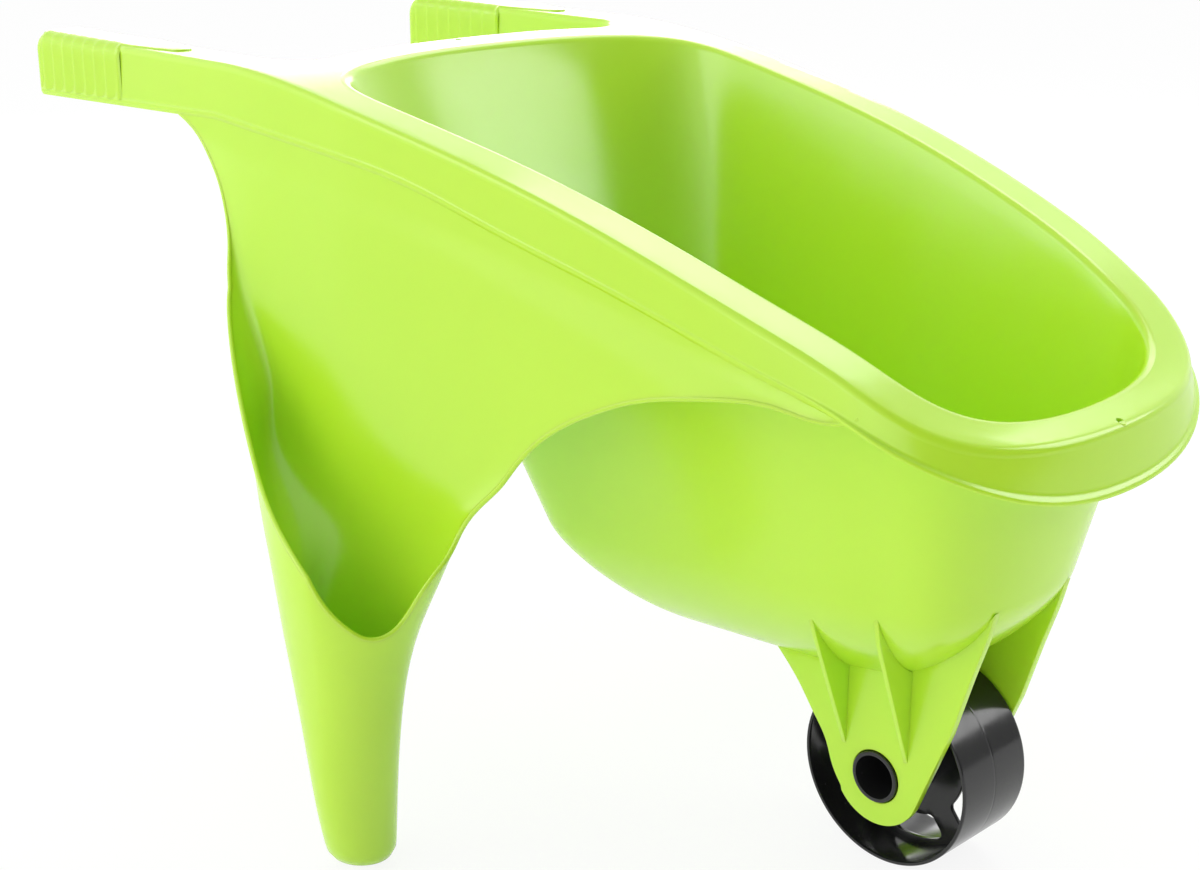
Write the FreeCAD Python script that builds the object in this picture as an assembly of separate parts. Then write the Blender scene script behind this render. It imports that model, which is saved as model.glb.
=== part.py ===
"""Child's toy wheelbarrow: one green body moulding and one black wheel moulding.

Shared frame: +X is the direction of travel, +Y the left side, +Z up. The
origin is on the ground under the middle of the overall length. Shapes are
drawn from the wheel axle (x = 0 there) and moved into the shared frame at the
end. The left half of each paired feature is drawn and mirrored over Y = 0.
"""
import FreeCAD, Part
import math
import os

V = FreeCAD.Vector

# ---------------------------------------------------------------- sizes (mm)
# overall
wheel_radius = 57.0
axle_to_handle_end = 633.5
wall = 2.5

# tub opening: the inner edge of the rim, seen from above
opening_length = 478.7
opening_half_width = 154.4
opening_front = 100.1
opening_shape = [
    (0.0, 0.0),
    (0.0, 0.5016),
    (0.0651, 1.0192),
    (0.1955, 1.0),
    (0.4846, 0.9413),
    (0.7653, 0.8407),
    (0.8390, 0.7637),
    (1.0, 0.6546),
    (1.0, 0.0),
]

# rim seen from the side: level handles, then a falling curve, then the nose.
# Each line gives the place along the barrow and the height as a share of level_top.
level_top = 437.3
rim_line = [
    (-416.0, 1.0),
    (-353.4, 0.9909),
    (-256.5, 0.9554),
    (-142.5, 0.8994),
    (-28.5, 0.8166),
    (57.0, 0.7297),
    (100.1, 0.6760),
    (114.2, 0.6650),
    (140.0, 0.6426),
]
skirt_line = [
    (-416.0, 0.9236),
    (-330.6, 0.9092),
    (-239.4, 0.8863),
    (-165.3, 0.8447),
    (-94.6, 0.8043),
    (-31.9, 0.7613),
    (13.1, 0.7274),
    (42.8, 0.7027),
    (74.1, 0.6666),
    (100.1, 0.6311),
    (124.8, 0.5843),
    (140.0, 0.5511),
]
handle_bottom_rear = 0.9067

# rim cover
rim_width_side = 26.8
rim_width_nose = 21.4
skirt_lip_out = 3.2
skirt_lip_height = 2.8
rim_hole_radius = 2.6
rim_hole_inset = 14.0

# handles
handle_width = 34.6
handle_end_radius = 9.0
handle_end_top_radius = 12.0
handle_root_radius = 26.0

# grips: a raised cover on each handle end with shallow overlapping ridges
grip_length = 110.0
grip_raise = 1.3
grip_ridge_count = 8
grip_ridge_depth = 0.9
grip_collar_width = 4.0
grip_tongue_length = 52.0
grip_tongue_width = 22.0
grip_tongue_raise = 0.9

# tub below the rim
tub_inset = 2.3
wheel_top_clearance = 2.4
floor_slope = 0.042
floor_rear = -222.9
floor_front = 58.9
floor_width_share = 0.495
floor_width_taper = 0.035
tub_bottom_reach = 65.4
tub_bottom_weight = 0.387
tub_flat_length_share = 0.54
tub_flat_width_share = 0.16

# side scoops that narrow into the two legs. Each row gives the height, the
# rear and front ends, then how far the panel, the middle and the outer wall
# stand outside the skirt, and how square the panel corners are. Heights are
# shares of level_top, as they are in the edge lines below.
leg_axis_x = -213.5
leg_rows = [
    (0.0, -233.2, -193.8, 51.6, 68.4, 85.5, 2.0),
    (0.0261, -233.7, -193.2, 51.0, 68.4, 88.6, 2.0),
    (0.1955, -248.0, -186.1, 42.5, 67.8, 96.0, 2.1),
    (0.3259, -273.6, -176.4, 28.5, 66.7, 106.0, 2.3),
    (0.4041, -296.4, -168.2, 22.8, 58.0, 109.5, 2.6),
    (0.4953, -333.5, -150.0, 17.1, 34.0, 84.0, 3.2),
    (0.5749, -349.0, -95.0, 12.5, 24.0, 80.0, 4.0),
    (0.6869, -383.0, 40.0, 6.4, 18.0, 62.0, 5.0),
    (0.7951, -398.0, 75.0, 2.6, 11.0, 50.0, 5.0),
    (0.8804, -428.0, 80.0, -0.4, 8.0, 45.0, 5.0),
    (0.9719, -480.0, 80.0, -1.7, 8.0, 45.0, 5.0),
]
panel_overlap = 8.0
foot_thickness = 3.0

# free edges of the scoop: height, then place along and outside the skirt
scoop_edge = [
    (0.3476, -185.0, 96.0, -158.0, 66.0),
    (0.3705, -188.0, 90.0, -168.0, 71.0),
    (0.3865, -200.0, 97.0, -168.0, 61.0),
    (0.4048, -214.0, 99.0, -170.0, 50.0),
    (0.4345, -244.0, 89.0, -172.0, 36.0),
    (0.4953, -289.0, 68.4, -160.0, 24.0),
    (0.5749, -332.9, 49.0, -120.0, 15.6),
    (0.6311, -358.0, 36.0, -60.0, 11.6),
    (0.6869, -374.5, 26.8, 60.0, 9.4),
    (0.7951, -392.7, 12.5, 75.0, 8.0),
    (0.8578, -413.3, 6.0, 75.0, 6.0),
    (0.9190, -459.0, 3.0, 75.0, 3.0),
    (0.9719, -489.0, 3.0, 75.0, 3.0),
]
arch_line = [
    (-176.0, 0.4299),
    (-163.6, 0.4953),
    (-141.4, 0.5630),
    (-117.4, 0.6204),
    (-86.6, 0.6673),
    (-61.6, 0.6895),
    (-37.6, 0.7000),
    (-2.9, 0.7078),
    (28.5, 0.7078),
    (50.0, 0.7032),
]

# fork ears and wheel
ear_inner = 31.4
ear_thickness = 5.4
ear_bottom_radius = 30.0
ear_rear_line = [(-24.5, 41.6), (-31.5, 52.4), (-37.0, 66.7), (-47.9, 82.1), (-57.6, 95.2), (-79.0, 117.0)]
ear_front_line = [(49.0, 100.9), (54.2, 119.1), (62.1, 145.9), (67.3, 162.5)]
ear_top_line = [(40.0, 200.0), (-60.0, 200.0)]
gusset_thickness = 3.0
gusset_rear = (-25.0, 68.0, 62.1, 132.5)
gusset_front = (18.8, 71.0, 61.3, 138.0)
gusset_bury = 2.0
axle_clearance = 0.6

wheel_width = 58.8
wheel_rim_thickness = 2.4
wheel_edge_bevel = 0.7
web_thickness = 3.0
web_offset = 0.0
hub_radius = 15.6
hub_wall = 2.6
hub_proud = 1.4
hub_shoulder_radius = 18.6
hub_side_clearance = 0.5
window_count = 6
window_inner_radius = 24.0
window_outer_radius = 50.5
window_spoke = 6.5
window_corner_radius = 3.0

# worked out from the sizes above
axle_to_nose = opening_front + rim_width_nose + skirt_lip_out
axle_x = (axle_to_handle_end + skirt_lip_out - axle_to_nose) / 2
opening_rear = opening_front - opening_length
ear_outer = ear_inner + ear_thickness
half_span = 2 * opening_half_width


# ------------------------------------------------------------------- helpers
def interpolated(points, start=None, end=None, parameters=None):
    """Smooth curve through points, with end directions when they are given."""
    curve = Part.BSplineCurve()
    values = {"Points": points}
    if parameters is not None:
        values["Parameters"] = parameters
    if start is not None and end is not None:
        values["InitialTangent"] = start
        values["FinalTangent"] = end
    curve.interpolate(**values)
    return curve


def closed_curve(points):
    """Smooth closed curve through points, evenly timed so that lofts line up."""
    count = len(points)
    curve = Part.BSplineCurve()
    timing = [index / count for index in range(count + 1)]
    curve.interpolate(Points=points, PeriodicFlag=True, Parameters=timing)
    return curve


def raised(line):
    """Side line with its heights worked out from their shares of the level top."""
    return [(x, share * level_top) for x, share in line]


def raised_rows(rows):
    """Rows whose first value is a share of the level top, with the height in its place."""
    return [(row[0] * level_top,) + row[1:] for row in rows]


def floor_level(x):
    """Height of the tub's underside, which clears the wheel and rises to the front."""
    return 2 * wheel_radius + wheel_top_clearance + floor_slope * x


RIM = raised(rim_line)
SKIRT = raised(skirt_line)
ARCH = raised(arch_line)
LEG_ROWS = raised_rows(leg_rows)
SCOOP_EDGE = raised_rows(scoop_edge)


def mirrored(shape):
    """Mirror image on the right side."""
    return shape.mirror(V(0, 0, 0), V(0, 1, 0))


def both(shape):
    """The shape and its mirror image."""
    return [shape, mirrored(shape)]


# --------------------------------------------------------- opening and rim
def opening_curve():
    """Left half of the opening edge, from the rear centre to the nose."""
    poles = []
    for along, across in opening_shape:
        poles.append(V(opening_rear + along * opening_length, across * opening_half_width, 0))
    curve = Part.BSplineCurve()
    curve.buildFromPolesMultsKnots(poles, [4, 1, 1, 1, 1, 1, 4], [0, 1, 2, 3, 4, 5, 6], False, 3)
    return curve


OPENING = opening_curve()
OPENING_END = 6.0


def opening_offset(u, distance, scaled=False):
    """Point at a distance outside the opening edge; a scaled one narrows to the nose."""
    point = OPENING.value(u)
    along = OPENING.tangent(u)[0]
    outward = V(-along.y, along.x, 0)
    if scaled:
        distance = distance - (rim_width_side - rim_width_nose) * max(0.0, outward.x) ** 2
    return point + outward * distance


def widest_u():
    """Curve parameter where the rim is widest and the handle side begins."""
    low = 0.8
    high = 3.0
    for step in range(60):
        middle = (low + high) / 2
        if OPENING.tangent(middle)[0].y > 0:
            low = middle
        else:
            high = middle
    return (low + high) / 2


WIDEST = widest_u()


def height_curve(points, drop=0.0):
    """Side line of the rim or skirt as a curve in the XZ plane."""
    lifted = [V(x, 0, z - drop) for x, z in points]
    slope = V(points[-1][0] - points[-2][0], 0, points[-1][1] - points[-2][1])
    return interpolated(lifted, V(120, 0, 0), slope * 3)


def rear_meeting_u(distance, across):
    """Parameter where the rear edge of the rim reaches a distance across."""
    low = 0.0
    high = WIDEST
    for step in range(60):
        middle = (low + high) / 2
        if opening_offset(middle, distance).y < across:
            low = middle
        else:
            high = middle
    return (low + high) / 2


def outline_face(grow):
    """Rim and both handles seen from above, grown outward by a distance."""
    reach = rim_width_side + grow
    side_points = []
    for index in range(15):
        u = OPENING_END + (WIDEST - OPENING_END) * index / 14
        side_points.append(opening_offset(u, reach, scaled=True))
    side = interpolated(side_points, V(0, 150, 0), V(-150, 0, 0))
    outer_y = side_points[-1].y
    inner_y = opening_offset(WIDEST, rim_width_side).y - handle_width - grow
    rear = -axle_to_handle_end - grow
    meeting = rear_meeting_u(reach, inner_y)
    rear_points = []
    for index in range(9):
        rear_points.append(opening_offset(meeting * index / 8, reach))
    along = OPENING.tangent(meeting)[0]
    rim_rear = interpolated(rear_points, V(0, 60, 0), along * 60)
    corner = handle_end_radius + grow
    turn = corner * (1 - math.sqrt(0.5))
    edges = [
        side.toShape(),
        Part.makeLine(side_points[-1], V(rear + corner, outer_y, 0)),
        Part.Arc(
            V(rear + corner, outer_y, 0),
            V(rear + turn, outer_y - turn, 0),
            V(rear, outer_y - corner, 0),
        ).toShape(),
        Part.makeLine(V(rear, outer_y - corner, 0), V(rear, inner_y + corner, 0)),
        Part.Arc(
            V(rear, inner_y + corner, 0),
            V(rear + turn, inner_y + turn, 0),
            V(rear + corner, inner_y, 0),
        ).toShape(),
        Part.makeLine(V(rear + corner, inner_y, 0), rear_points[-1]),
        rim_rear.toShape(),
    ]
    other = [edge.mirror(V(0, 0, 0), V(0, 1, 0)) for edge in edges]
    wire = Part.Wire(Part.__sortEdges__(edges + other))
    return Part.Face(wire), V(rear_points[-1].x, inner_y, 0)


def outline_prism(grow):
    """Upright block of the outline, with the handle roots rounded."""
    face, root = outline_face(grow)
    block = face.extrude(V(0, 0, 2 * level_top))
    roots = []
    for edge in block.Edges:
        low = edge.BoundBox
        upright = low.XLength < 0.01 and low.YLength < 0.01
        if upright and abs(low.XMin - root.x) < 0.5 and abs(abs(low.YMin) - root.y) < 0.5:
            roots.append(edge)
    return block.makeFillet(handle_root_radius + grow, roots)


def slab(upper, lower, upper_drop=0.0, lower_drop=0.0, floor=False):
    """Block between two side lines, wide enough for the whole rim."""
    top = height_curve(upper, upper_drop)
    front = upper[-1][0]
    rear = -axle_to_handle_end - 30.0
    start = V(upper[0][0], 0, upper[0][1] - upper_drop)
    top_end = V(front, 0, upper[-1][1] - upper_drop)
    edges = [Part.makeLine(V(rear, 0, start.z), start), top.toShape()]
    if floor:
        edges.append(Part.makePolygon([top_end, V(front, 0, -50), V(rear, 0, -50), V(rear, 0, start.z)]))
        wire = Part.Wire(edges)
    else:
        bottom = height_curve(lower, lower_drop)
        low_start = V(lower[0][0], 0, lower[0][1] - lower_drop)
        low_end = V(lower[-1][0], 0, lower[-1][1] - lower_drop)
        low_rear = V(rear, 0, handle_bottom_rear * level_top - lower_drop)
        edges.append(Part.makeLine(top_end, low_end))
        edges.append(bottom.toShape())
        edges.append(Part.makeLine(low_start, low_rear))
        edges.append(Part.makeLine(low_rear, V(rear, 0, start.z)))
        wire = Part.Wire(Part.__sortEdges__(edges))
    face = Part.Face(wire)
    face.translate(V(0, -half_span, 0))
    return face.extrude(V(0, 2 * half_span, 0))


def rim_cover():
    """Flat rim, handles and the skirt under their outer edge, hollow from below."""
    block = outline_prism(0.0).common(slab(RIM, SKIRT))
    hollow = outline_prism(-wall).common(slab(RIM, None, wall, 0.0, floor=True))
    lip = outline_prism(skirt_lip_out).common(slab(SKIRT, SKIRT, -skirt_lip_height, 0.0))
    grips = both(grip())
    tongues = both(grip_tongue())
    cover = block.multiFuse([lip] + grips + tongues).cut(handle_end_waste(0.0))
    return cover.cut(hollow.cut(handle_end_waste(wall)))


def handle_end_waste(inset):
    """What is outside the rounded top of the handle ends, for a skin at an inset."""
    axis = V(handle_end_top_radius - axle_to_handle_end, -half_span, level_top + grip_raise - handle_end_top_radius)
    size = handle_end_top_radius + wall
    block = Part.makeBox(size, 2 * half_span, size, V(axis.x - size, -half_span, axis.z))
    return block.cut(Part.makeCylinder(handle_end_top_radius - inset, 2 * half_span, axis, V(0, 1, 0)))


def handle_sides():
    """Inner and outer side faces of the left handle."""
    outer = opening_offset(WIDEST, rim_width_side).y
    return outer - handle_width, outer


def grip_steps(base):
    """Row of shallow overlapping steps from the collar back to the handle's end."""
    rear = -axle_to_handle_end
    front = rear + grip_length
    pitch = (grip_length - grip_collar_width) / grip_ridge_count
    low = base + grip_raise - grip_ridge_depth
    steps = [(front, base + grip_raise), (front - grip_collar_width, base + grip_raise)]
    for index in range(grip_ridge_count):
        start = front - grip_collar_width - index * pitch
        steps.append((start, low))
        steps.append((start - pitch, base + grip_raise))
    return steps


def grip():
    """Left grip: steps on both sides seen from above, and on top seen from the side."""
    inner, outer = handle_sides()
    rear = -axle_to_handle_end
    front = rear + grip_length
    bottom = SKIRT[0][1] + skirt_lip_height
    plan = [V(x, y, 0) for x, y in grip_steps(outer)]
    plan += [V(x, inner + outer - y, 0) for x, y in reversed(grip_steps(outer))]
    block = Part.Face(Part.makePolygon(plan + [plan[0]])).extrude(V(0, 0, 2 * level_top))
    side = [V(x, 0, z) for x, z in grip_steps(level_top)]
    side += [V(rear, 0, bottom), V(front, 0, bottom)]
    return block.common(Part.Face(Part.makePolygon(side + [side[0]])).extrude(V(0, half_span, 0)))


def grip_tongue():
    """Raised flat tongue that runs forward from the left grip along the handle top."""
    inner, outer = handle_sides()
    middle = (inner + outer) / 2
    half = grip_tongue_width / 2
    start = grip_length - axle_to_handle_end - grip_collar_width
    end = start + grip_collar_width + grip_tongue_length - half
    edges = [
        Part.makePolygon([V(end, middle - half, 0), V(start, middle - half, 0), V(start, middle + half, 0),
                          V(end, middle + half, 0)]),
        Part.Arc(V(end, middle + half, 0), V(end + half, middle, 0), V(end, middle - half, 0)).toShape(),
    ]
    face = Part.Face(Part.Wire(edges))
    face.translate(V(0, 0, level_top - wall))
    return face.extrude(V(0, 0, wall + grip_tongue_raise))


# ----------------------------------------------------------------------- tub
def rim_height(x):
    """Height of the rim over a place along the barrow."""
    if x <= RIM[0][0]:
        return level_top
    low = RIM_CURVE.FirstParameter
    high = RIM_CURVE.LastParameter
    for step in range(50):
        middle = (low + high) / 2
        if RIM_CURVE.value(middle).x < x:
            low = middle
        else:
            high = middle
    return RIM_CURVE.value((low + high) / 2).z


RIM_CURVE = height_curve(RIM)


def tub_lines(u):
    """Top point, sharp floor corner and floor flat point of one wall line."""
    top = opening_offset(u, -tub_inset)
    top = V(top.x, top.y, rim_height(top.x))
    share = (top.x - opening_rear) / opening_length
    x = floor_rear + share * (floor_front - floor_rear)
    y = top.y * floor_width_share * (1 - floor_width_taper * (share - 0.4))
    corner = V(x, y, floor_level(x))
    middle = (floor_rear + floor_front) / 2
    flat_x = middle + (x - middle) * tub_flat_length_share
    flat = V(flat_x, y * tub_flat_width_share, floor_level(flat_x))
    return top, corner, flat


def tub_point(u, t):
    """Outer skin: t from 0 (above the rim) to 1 is wall, 1 to 2 the rounded bottom."""
    top, corner, flat = tub_lines(u)
    rise = (top - corner).normalize()
    bend = corner + rise * tub_bottom_reach
    if t <= 1.0:
        above = corner + rise * ((TUB_TOP - corner.z) / rise.z)
        return above * (1 - t) + bend * t
    s = t - 1.0
    a = (1 - s) ** 2
    b = 2 * tub_bottom_weight * s * (1 - s)
    c = s * s
    return (bend * a + corner * b + flat * c) * (1 / (a + b + c))


TUB_TOP = level_top + 30.0


def tub_inside_point(u, t):
    """Inner skin: one wall thickness inside the outer skin."""
    step = 0.004
    u0 = max(0.0, u - step)
    u1 = min(OPENING_END, u + step)
    t0 = t - step if t > 1.0 else t
    t1 = t + step if t < 1.0 else t
    if t1 == t0:
        t1 = t + step
    if t >= 2.0:
        t0 = 2.0 - step
        t1 = 2.0
    around = tub_point(u1, t) - tub_point(u0, t)
    down = tub_point(u, t1) - tub_point(u, t0)
    inward = down.cross(around).normalize()
    point = tub_point(u, t)
    if t <= 0.0:
        flat = V(inward.x, inward.y, 0)
        return point + flat * (wall / flat.Length ** 2)
    if t >= 2.0:
        return point + V(0, 0, wall)
    return point + inward * wall


def tub_section(skin, t):
    """Closed curve round the tub at one level of a skin."""
    count = 12
    left = [skin(OPENING_END * index / count, t) for index in range(count + 1)]
    left[0] = V(left[0].x, 0, left[0].z)
    left[-1] = V(left[-1].x, 0, left[-1].z)
    right = [V(point.x, -point.y, point.z) for point in left[-2:0:-1]]
    return Part.Wire(closed_curve(left + right).toShape())


def tub_solid(skin):
    """Straight-ruled walls over a lofted round bottom, closed into one solid."""
    top = tub_section(skin, 0.0)
    bend = tub_section(skin, 1.0)
    bottom = [bend] + [tub_section(skin, t) for t in (1.25, 1.5, 1.75, 2.0)]
    faces = Part.makeLoft([top, bend], False, True).Faces
    faces += Part.makeLoft(bottom, False, False).Faces
    faces += [Part.Face(top), Part.Face(bottom[-1])]
    shell = Part.Shell(faces)
    shell.sewShape()
    return Part.Solid(shell)


# ---------------------------------------------------------------------- legs
def skirt_y(x):
    """Distance of the skirt's outer face from the middle plane."""
    widest = opening_offset(WIDEST, rim_width_side)
    if x <= widest.x:
        return widest.y
    low = WIDEST
    high = OPENING_END
    for step in range(50):
        middle = (low + high) / 2
        if opening_offset(middle, rim_width_side, scaled=True).x < x:
            low = middle
        else:
            high = middle
    return opening_offset((low + high) / 2, rim_width_side, scaled=True).y


def leg_section(row, inset):
    """Closed plan section of a scoop or leg, as points going round it."""
    height, rear, front, panel, middle, outer, square = row
    inside = panel - wall + inset
    points = []
    for index in range(24):
        turn = math.radians(15.0 * index)
        s = math.sin(turn)
        reach = (leg_axis_x - rear) if s < 0 else (front - leg_axis_x)
        x = leg_axis_x + (reach - inset) * s
        on_panel = 6 < index < 18
        power = square if on_panel else 2.0
        depth = max(0.0, 1 - abs(s) ** power) ** (1 / power)
        if on_panel:
            q = middle - (middle - inside) * depth
        else:
            q = middle + (outer - inset - middle) * depth
        points.append(V(x, skirt_y(x) + q, height))
    return points


def leg_solid(inset):
    """Loft of the closed sections, each moved inward by a distance."""
    wires = []
    for row in LEG_ROWS:
        height = row[0]
        if inset > 0 and height == 0:
            height = foot_thickness
        if inset > 0 and row is LEG_ROWS[-1]:
            height = height + 2 * wall
        curve = closed_curve(leg_section((height,) + row[1:], inset))
        wires.append(Part.Wire(curve.toShape()))
    return Part.makeLoft(wires, True, False)


def scoop_cutter():
    """Everything outside the surface that joins the two free edges."""
    wires = []
    for height, rear_x, rear_q, front_x, front_q in SCOOP_EDGE:
        length = math.hypot(front_x - rear_x, front_q - rear_q)
        step_x = (front_x - rear_x) / length
        step_q = (front_q - rear_q) / length
        points = []
        for index in range(9):
            reach = -30.0 + (length + 60.0) * index / 8
            x = rear_x + step_x * reach
            points.append(V(x, skirt_y(x) + rear_q + step_q * reach, height))
        near = interpolated(points).toShape()
        shift = V(-step_q, step_x, 0) * 160
        far = Part.makePolygon([points[-1], points[-1] + shift, points[0] + shift, points[0]])
        wires.append(Part.Wire([near] + far.Edges))
    return Part.makeLoft(wires, True, True)


def arch_cutter():
    """Space in front of the leg, under the arch of the side panel."""
    curve = interpolated([V(x, 0, z) for x, z in ARCH])
    first = V(ARCH[0][0], 0, ARCH[0][1])
    last = V(ARCH[-1][0], 0, ARCH[-1][1])
    under = Part.makePolygon([last, V(last.x + 90, 0, last.z - 10), V(last.x + 90, 0, 150), V(-150, 0, 150), first])
    face = Part.Face(Part.Wire([curve.toShape()] + under.Edges))
    face.translate(V(0, 100, 0))
    return face.extrude(V(0, 300, 0))


def leg():
    """Left side panel, scoop and leg as one thin wall."""
    tube = leg_solid(0.0).cut(leg_solid(wall))
    trimmed = tube.cut(scoop_cutter()).cut(arch_cutter())
    return trimmed.common(slab(SKIRT, None, -panel_overlap, 0.0, floor=True))


# ----------------------------------------------------------------- fork ears
def ear_plate():
    """Left ear: a plate with a round lower end, running up into the tub."""
    rear_points = [V(x, ear_inner, z) for x, z in ear_rear_line]
    front_points = [V(x, ear_inner, z) for x, z in ear_front_line]
    reach = math.hypot(rear_points[0].z - wheel_radius, rear_points[0].x)
    front_first = V(reach * 0.985, ear_inner, wheel_radius + 5.0)
    low = V(0, ear_inner, wheel_radius - ear_bottom_radius)
    edges = [
        Part.Arc(rear_points[0], low, front_first).toShape(),
        interpolated([front_first] + front_points).toShape(),
        Part.makePolygon([front_points[-1]] + [V(x, ear_inner, z) for x, z in ear_top_line] + [rear_points[-1]]),
        interpolated(list(reversed(rear_points))).toShape(),
    ]
    face = Part.Face(Part.Wire(edges))
    return face.extrude(V(0, ear_thickness, 0))


def gusset(sizes):
    """Triangular web between the ear's outer face and the tub."""
    x, low, out, high = sizes
    root = ear_outer - gusset_bury
    slope = (high - low) / (out - ear_outer)
    top = high + 40.0
    corners = [
        V(x, root, low - gusset_bury * slope),
        V(x, out + 40.0 / slope, top),
        V(x, root, top),
    ]
    face = Part.Face(Part.makePolygon(corners + [corners[0]]))
    return face.extrude(V(gusset_thickness, 0, 0))


def axle_hole():
    """Round hole through both ears for the wheel's hub."""
    radius = hub_radius + axle_clearance
    return Part.makeCylinder(radius, 4 * ear_outer, V(0, -2 * ear_outer, wheel_radius), V(0, 1, 0))


# --------------------------------------------------------------- whole body
def body():
    """The whole green moulding."""
    shape = rim_cover()
    tub = tub_solid(tub_point).common(slab(RIM, None, wall / 2, 0.0, floor=True))
    parts = [tub]
    for piece in [leg(), ear_plate(), gusset(gusset_rear), gusset(gusset_front)]:
        parts += both(piece)
    shape = shape.multiFuse(parts)
    shape = shape.cut(tub_solid(tub_inside_point)).cut(axle_hole())
    holes = []
    for x in (opening_rear - rim_hole_inset * 1.35, opening_front + rim_hole_inset):
        holes.append(Part.makeCylinder(rim_hole_radius, 60, V(x, 0, rim_height(x) - 30)))
    return shape.cut(holes[0]).cut(holes[1]).removeSplitter()


# --------------------------------------------------------------------- wheel
def revolved_ring(points):
    """Ring turned about the axle from an outline of radius and side position."""
    corners = [V(0, side, wheel_radius + radius) for radius, side in points]
    face = Part.Face(Part.makePolygon(corners + [corners[0]]))
    return face.revolve(V(0, 0, wheel_radius), V(0, 1, 0), 360)


def window():
    """One rounded three-sided opening through the web."""
    half = math.pi / window_count
    shift = window_spoke / 2
    inner_turn = half - math.asin(shift / window_inner_radius)
    outer_turn = half - math.asin(shift / window_outer_radius)

    def at(radius, turn):
        return V(radius * math.sin(turn), -20, wheel_radius + radius * math.cos(turn))

    edges = [
        Part.Arc(
            at(window_outer_radius, -outer_turn),
            at(window_outer_radius, 0),
            at(window_outer_radius, outer_turn),
        ).toShape(),
        Part.makeLine(at(window_outer_radius, outer_turn), at(window_inner_radius, inner_turn)),
        Part.Arc(
            at(window_inner_radius, inner_turn),
            at(window_inner_radius, 0),
            at(window_inner_radius, -inner_turn),
        ).toShape(),
        Part.makeLine(at(window_inner_radius, -inner_turn), at(window_outer_radius, -outer_turn)),
    ]
    block = Part.Face(Part.Wire(edges)).extrude(V(0, 40, 0))
    corners = [edge for edge in block.Edges if edge.BoundBox.YLength > 39]
    return block.makeFillet(window_corner_radius, corners)


def wheel():
    """The whole black moulding: rim, web and hub tube."""
    half = wheel_width / 2
    rim_inner = wheel_radius - wheel_rim_thickness
    bevel = wheel_edge_bevel
    rim = revolved_ring([
        (rim_inner, -half + bevel),
        (rim_inner + bevel, -half),
        (wheel_radius - bevel, -half),
        (wheel_radius, -half + bevel),
        (wheel_radius, half - bevel),
        (wheel_radius - bevel, half),
        (rim_inner + bevel, half),
        (rim_inner, half - bevel),
    ])
    web_low = web_offset - web_thickness / 2
    web_high = web_offset + web_thickness / 2
    inner = hub_radius - hub_wall / 2
    outer = wheel_radius - wheel_rim_thickness / 2
    web = revolved_ring([(inner, web_low), (outer, web_low), (outer, web_high), (inner, web_high)])
    opening = window()
    for index in range(window_count):
        turned = opening.copy()
        turned.rotate(V(0, 0, wheel_radius), V(0, 1, 0), 360.0 * index / window_count)
        web = web.cut(turned)
    reach = ear_outer + hub_proud
    shoulder = ear_inner - hub_side_clearance
    bore = hub_radius - hub_wall
    hub = revolved_ring([
        (bore, -reach),
        (hub_radius, -reach),
        (hub_radius, -shoulder),
        (hub_shoulder_radius, -shoulder),
        (hub_shoulder_radius, shoulder),
        (hub_radius, shoulder),
        (hub_radius, reach),
        (bore, reach),
    ])
    return rim.multiFuse([web, hub]).removeSplitter()


def save(shape, name):
    """Move a part into the shared frame and write it."""
    placed = shape.copy()
    placed.translate(V(axle_x, 0, 0))
    placed.exportStep("parts/" + name + ".step")


os.makedirs("parts", exist_ok=True)
save(body(), "barrow_body")
save(wheel(), "wheel")
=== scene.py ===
"""Looks of a child's toy wheelbarrow: one glossy green body moulding and one black wheel.

Shared frame: +X is the direction of travel, +Y the left side, +Z up. Shapes are
worked out in millimetres from the point on the ground under the wheel's axle,
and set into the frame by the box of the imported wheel. The left half of the body
is drawn and mirrored over the middle plane. Run as a script, never installed.
"""

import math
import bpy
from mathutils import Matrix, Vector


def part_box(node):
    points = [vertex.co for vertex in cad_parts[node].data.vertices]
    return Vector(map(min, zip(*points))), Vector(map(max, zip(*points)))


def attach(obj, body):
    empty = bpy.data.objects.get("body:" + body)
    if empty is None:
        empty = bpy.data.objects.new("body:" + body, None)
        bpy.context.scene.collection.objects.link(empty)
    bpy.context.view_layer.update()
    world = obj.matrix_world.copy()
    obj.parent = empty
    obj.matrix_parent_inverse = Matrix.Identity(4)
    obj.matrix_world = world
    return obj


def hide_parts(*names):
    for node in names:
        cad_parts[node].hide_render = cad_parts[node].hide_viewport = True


bl_info = {
    "name": "Toy wheelbarrow",
    "version": (1, 0, 0),
    "blender": (4, 2, 0),
    "location": "3D View > Sidebar > Barrow",
    "description": "Builds the visible pieces, materials and stage of a toy wheelbarrow",
    "category": "Object",
}

import bmesh
import bpy
import numpy as np
from bpy.props import FloatProperty, FloatVectorProperty, IntProperty, PointerProperty
from mathutils import Matrix, Vector
from mathutils.bvhtree import BVHTree
from mathutils.geometry import delaunay_2d_cdt

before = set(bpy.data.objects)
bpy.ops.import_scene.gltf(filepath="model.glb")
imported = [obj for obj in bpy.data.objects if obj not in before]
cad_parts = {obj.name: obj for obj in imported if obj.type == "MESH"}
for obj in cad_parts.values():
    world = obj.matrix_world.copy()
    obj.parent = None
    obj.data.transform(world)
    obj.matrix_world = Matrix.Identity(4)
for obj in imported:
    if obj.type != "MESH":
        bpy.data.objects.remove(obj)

# Opening of the tub seen from above: shares of its length and half width, as
# control points of one smooth curve from the rear middle to the nose.
OPENING_SHAPE = [
    (0.0, 0.0), (0.0, 0.5016), (0.0651, 1.0192), (0.1955, 1.0), (0.4846, 0.9413),
    (0.7653, 0.8407), (0.8390, 0.7637), (1.0, 0.6546), (1.0, 0.0),
]
OPENING_END = 6.0

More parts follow.
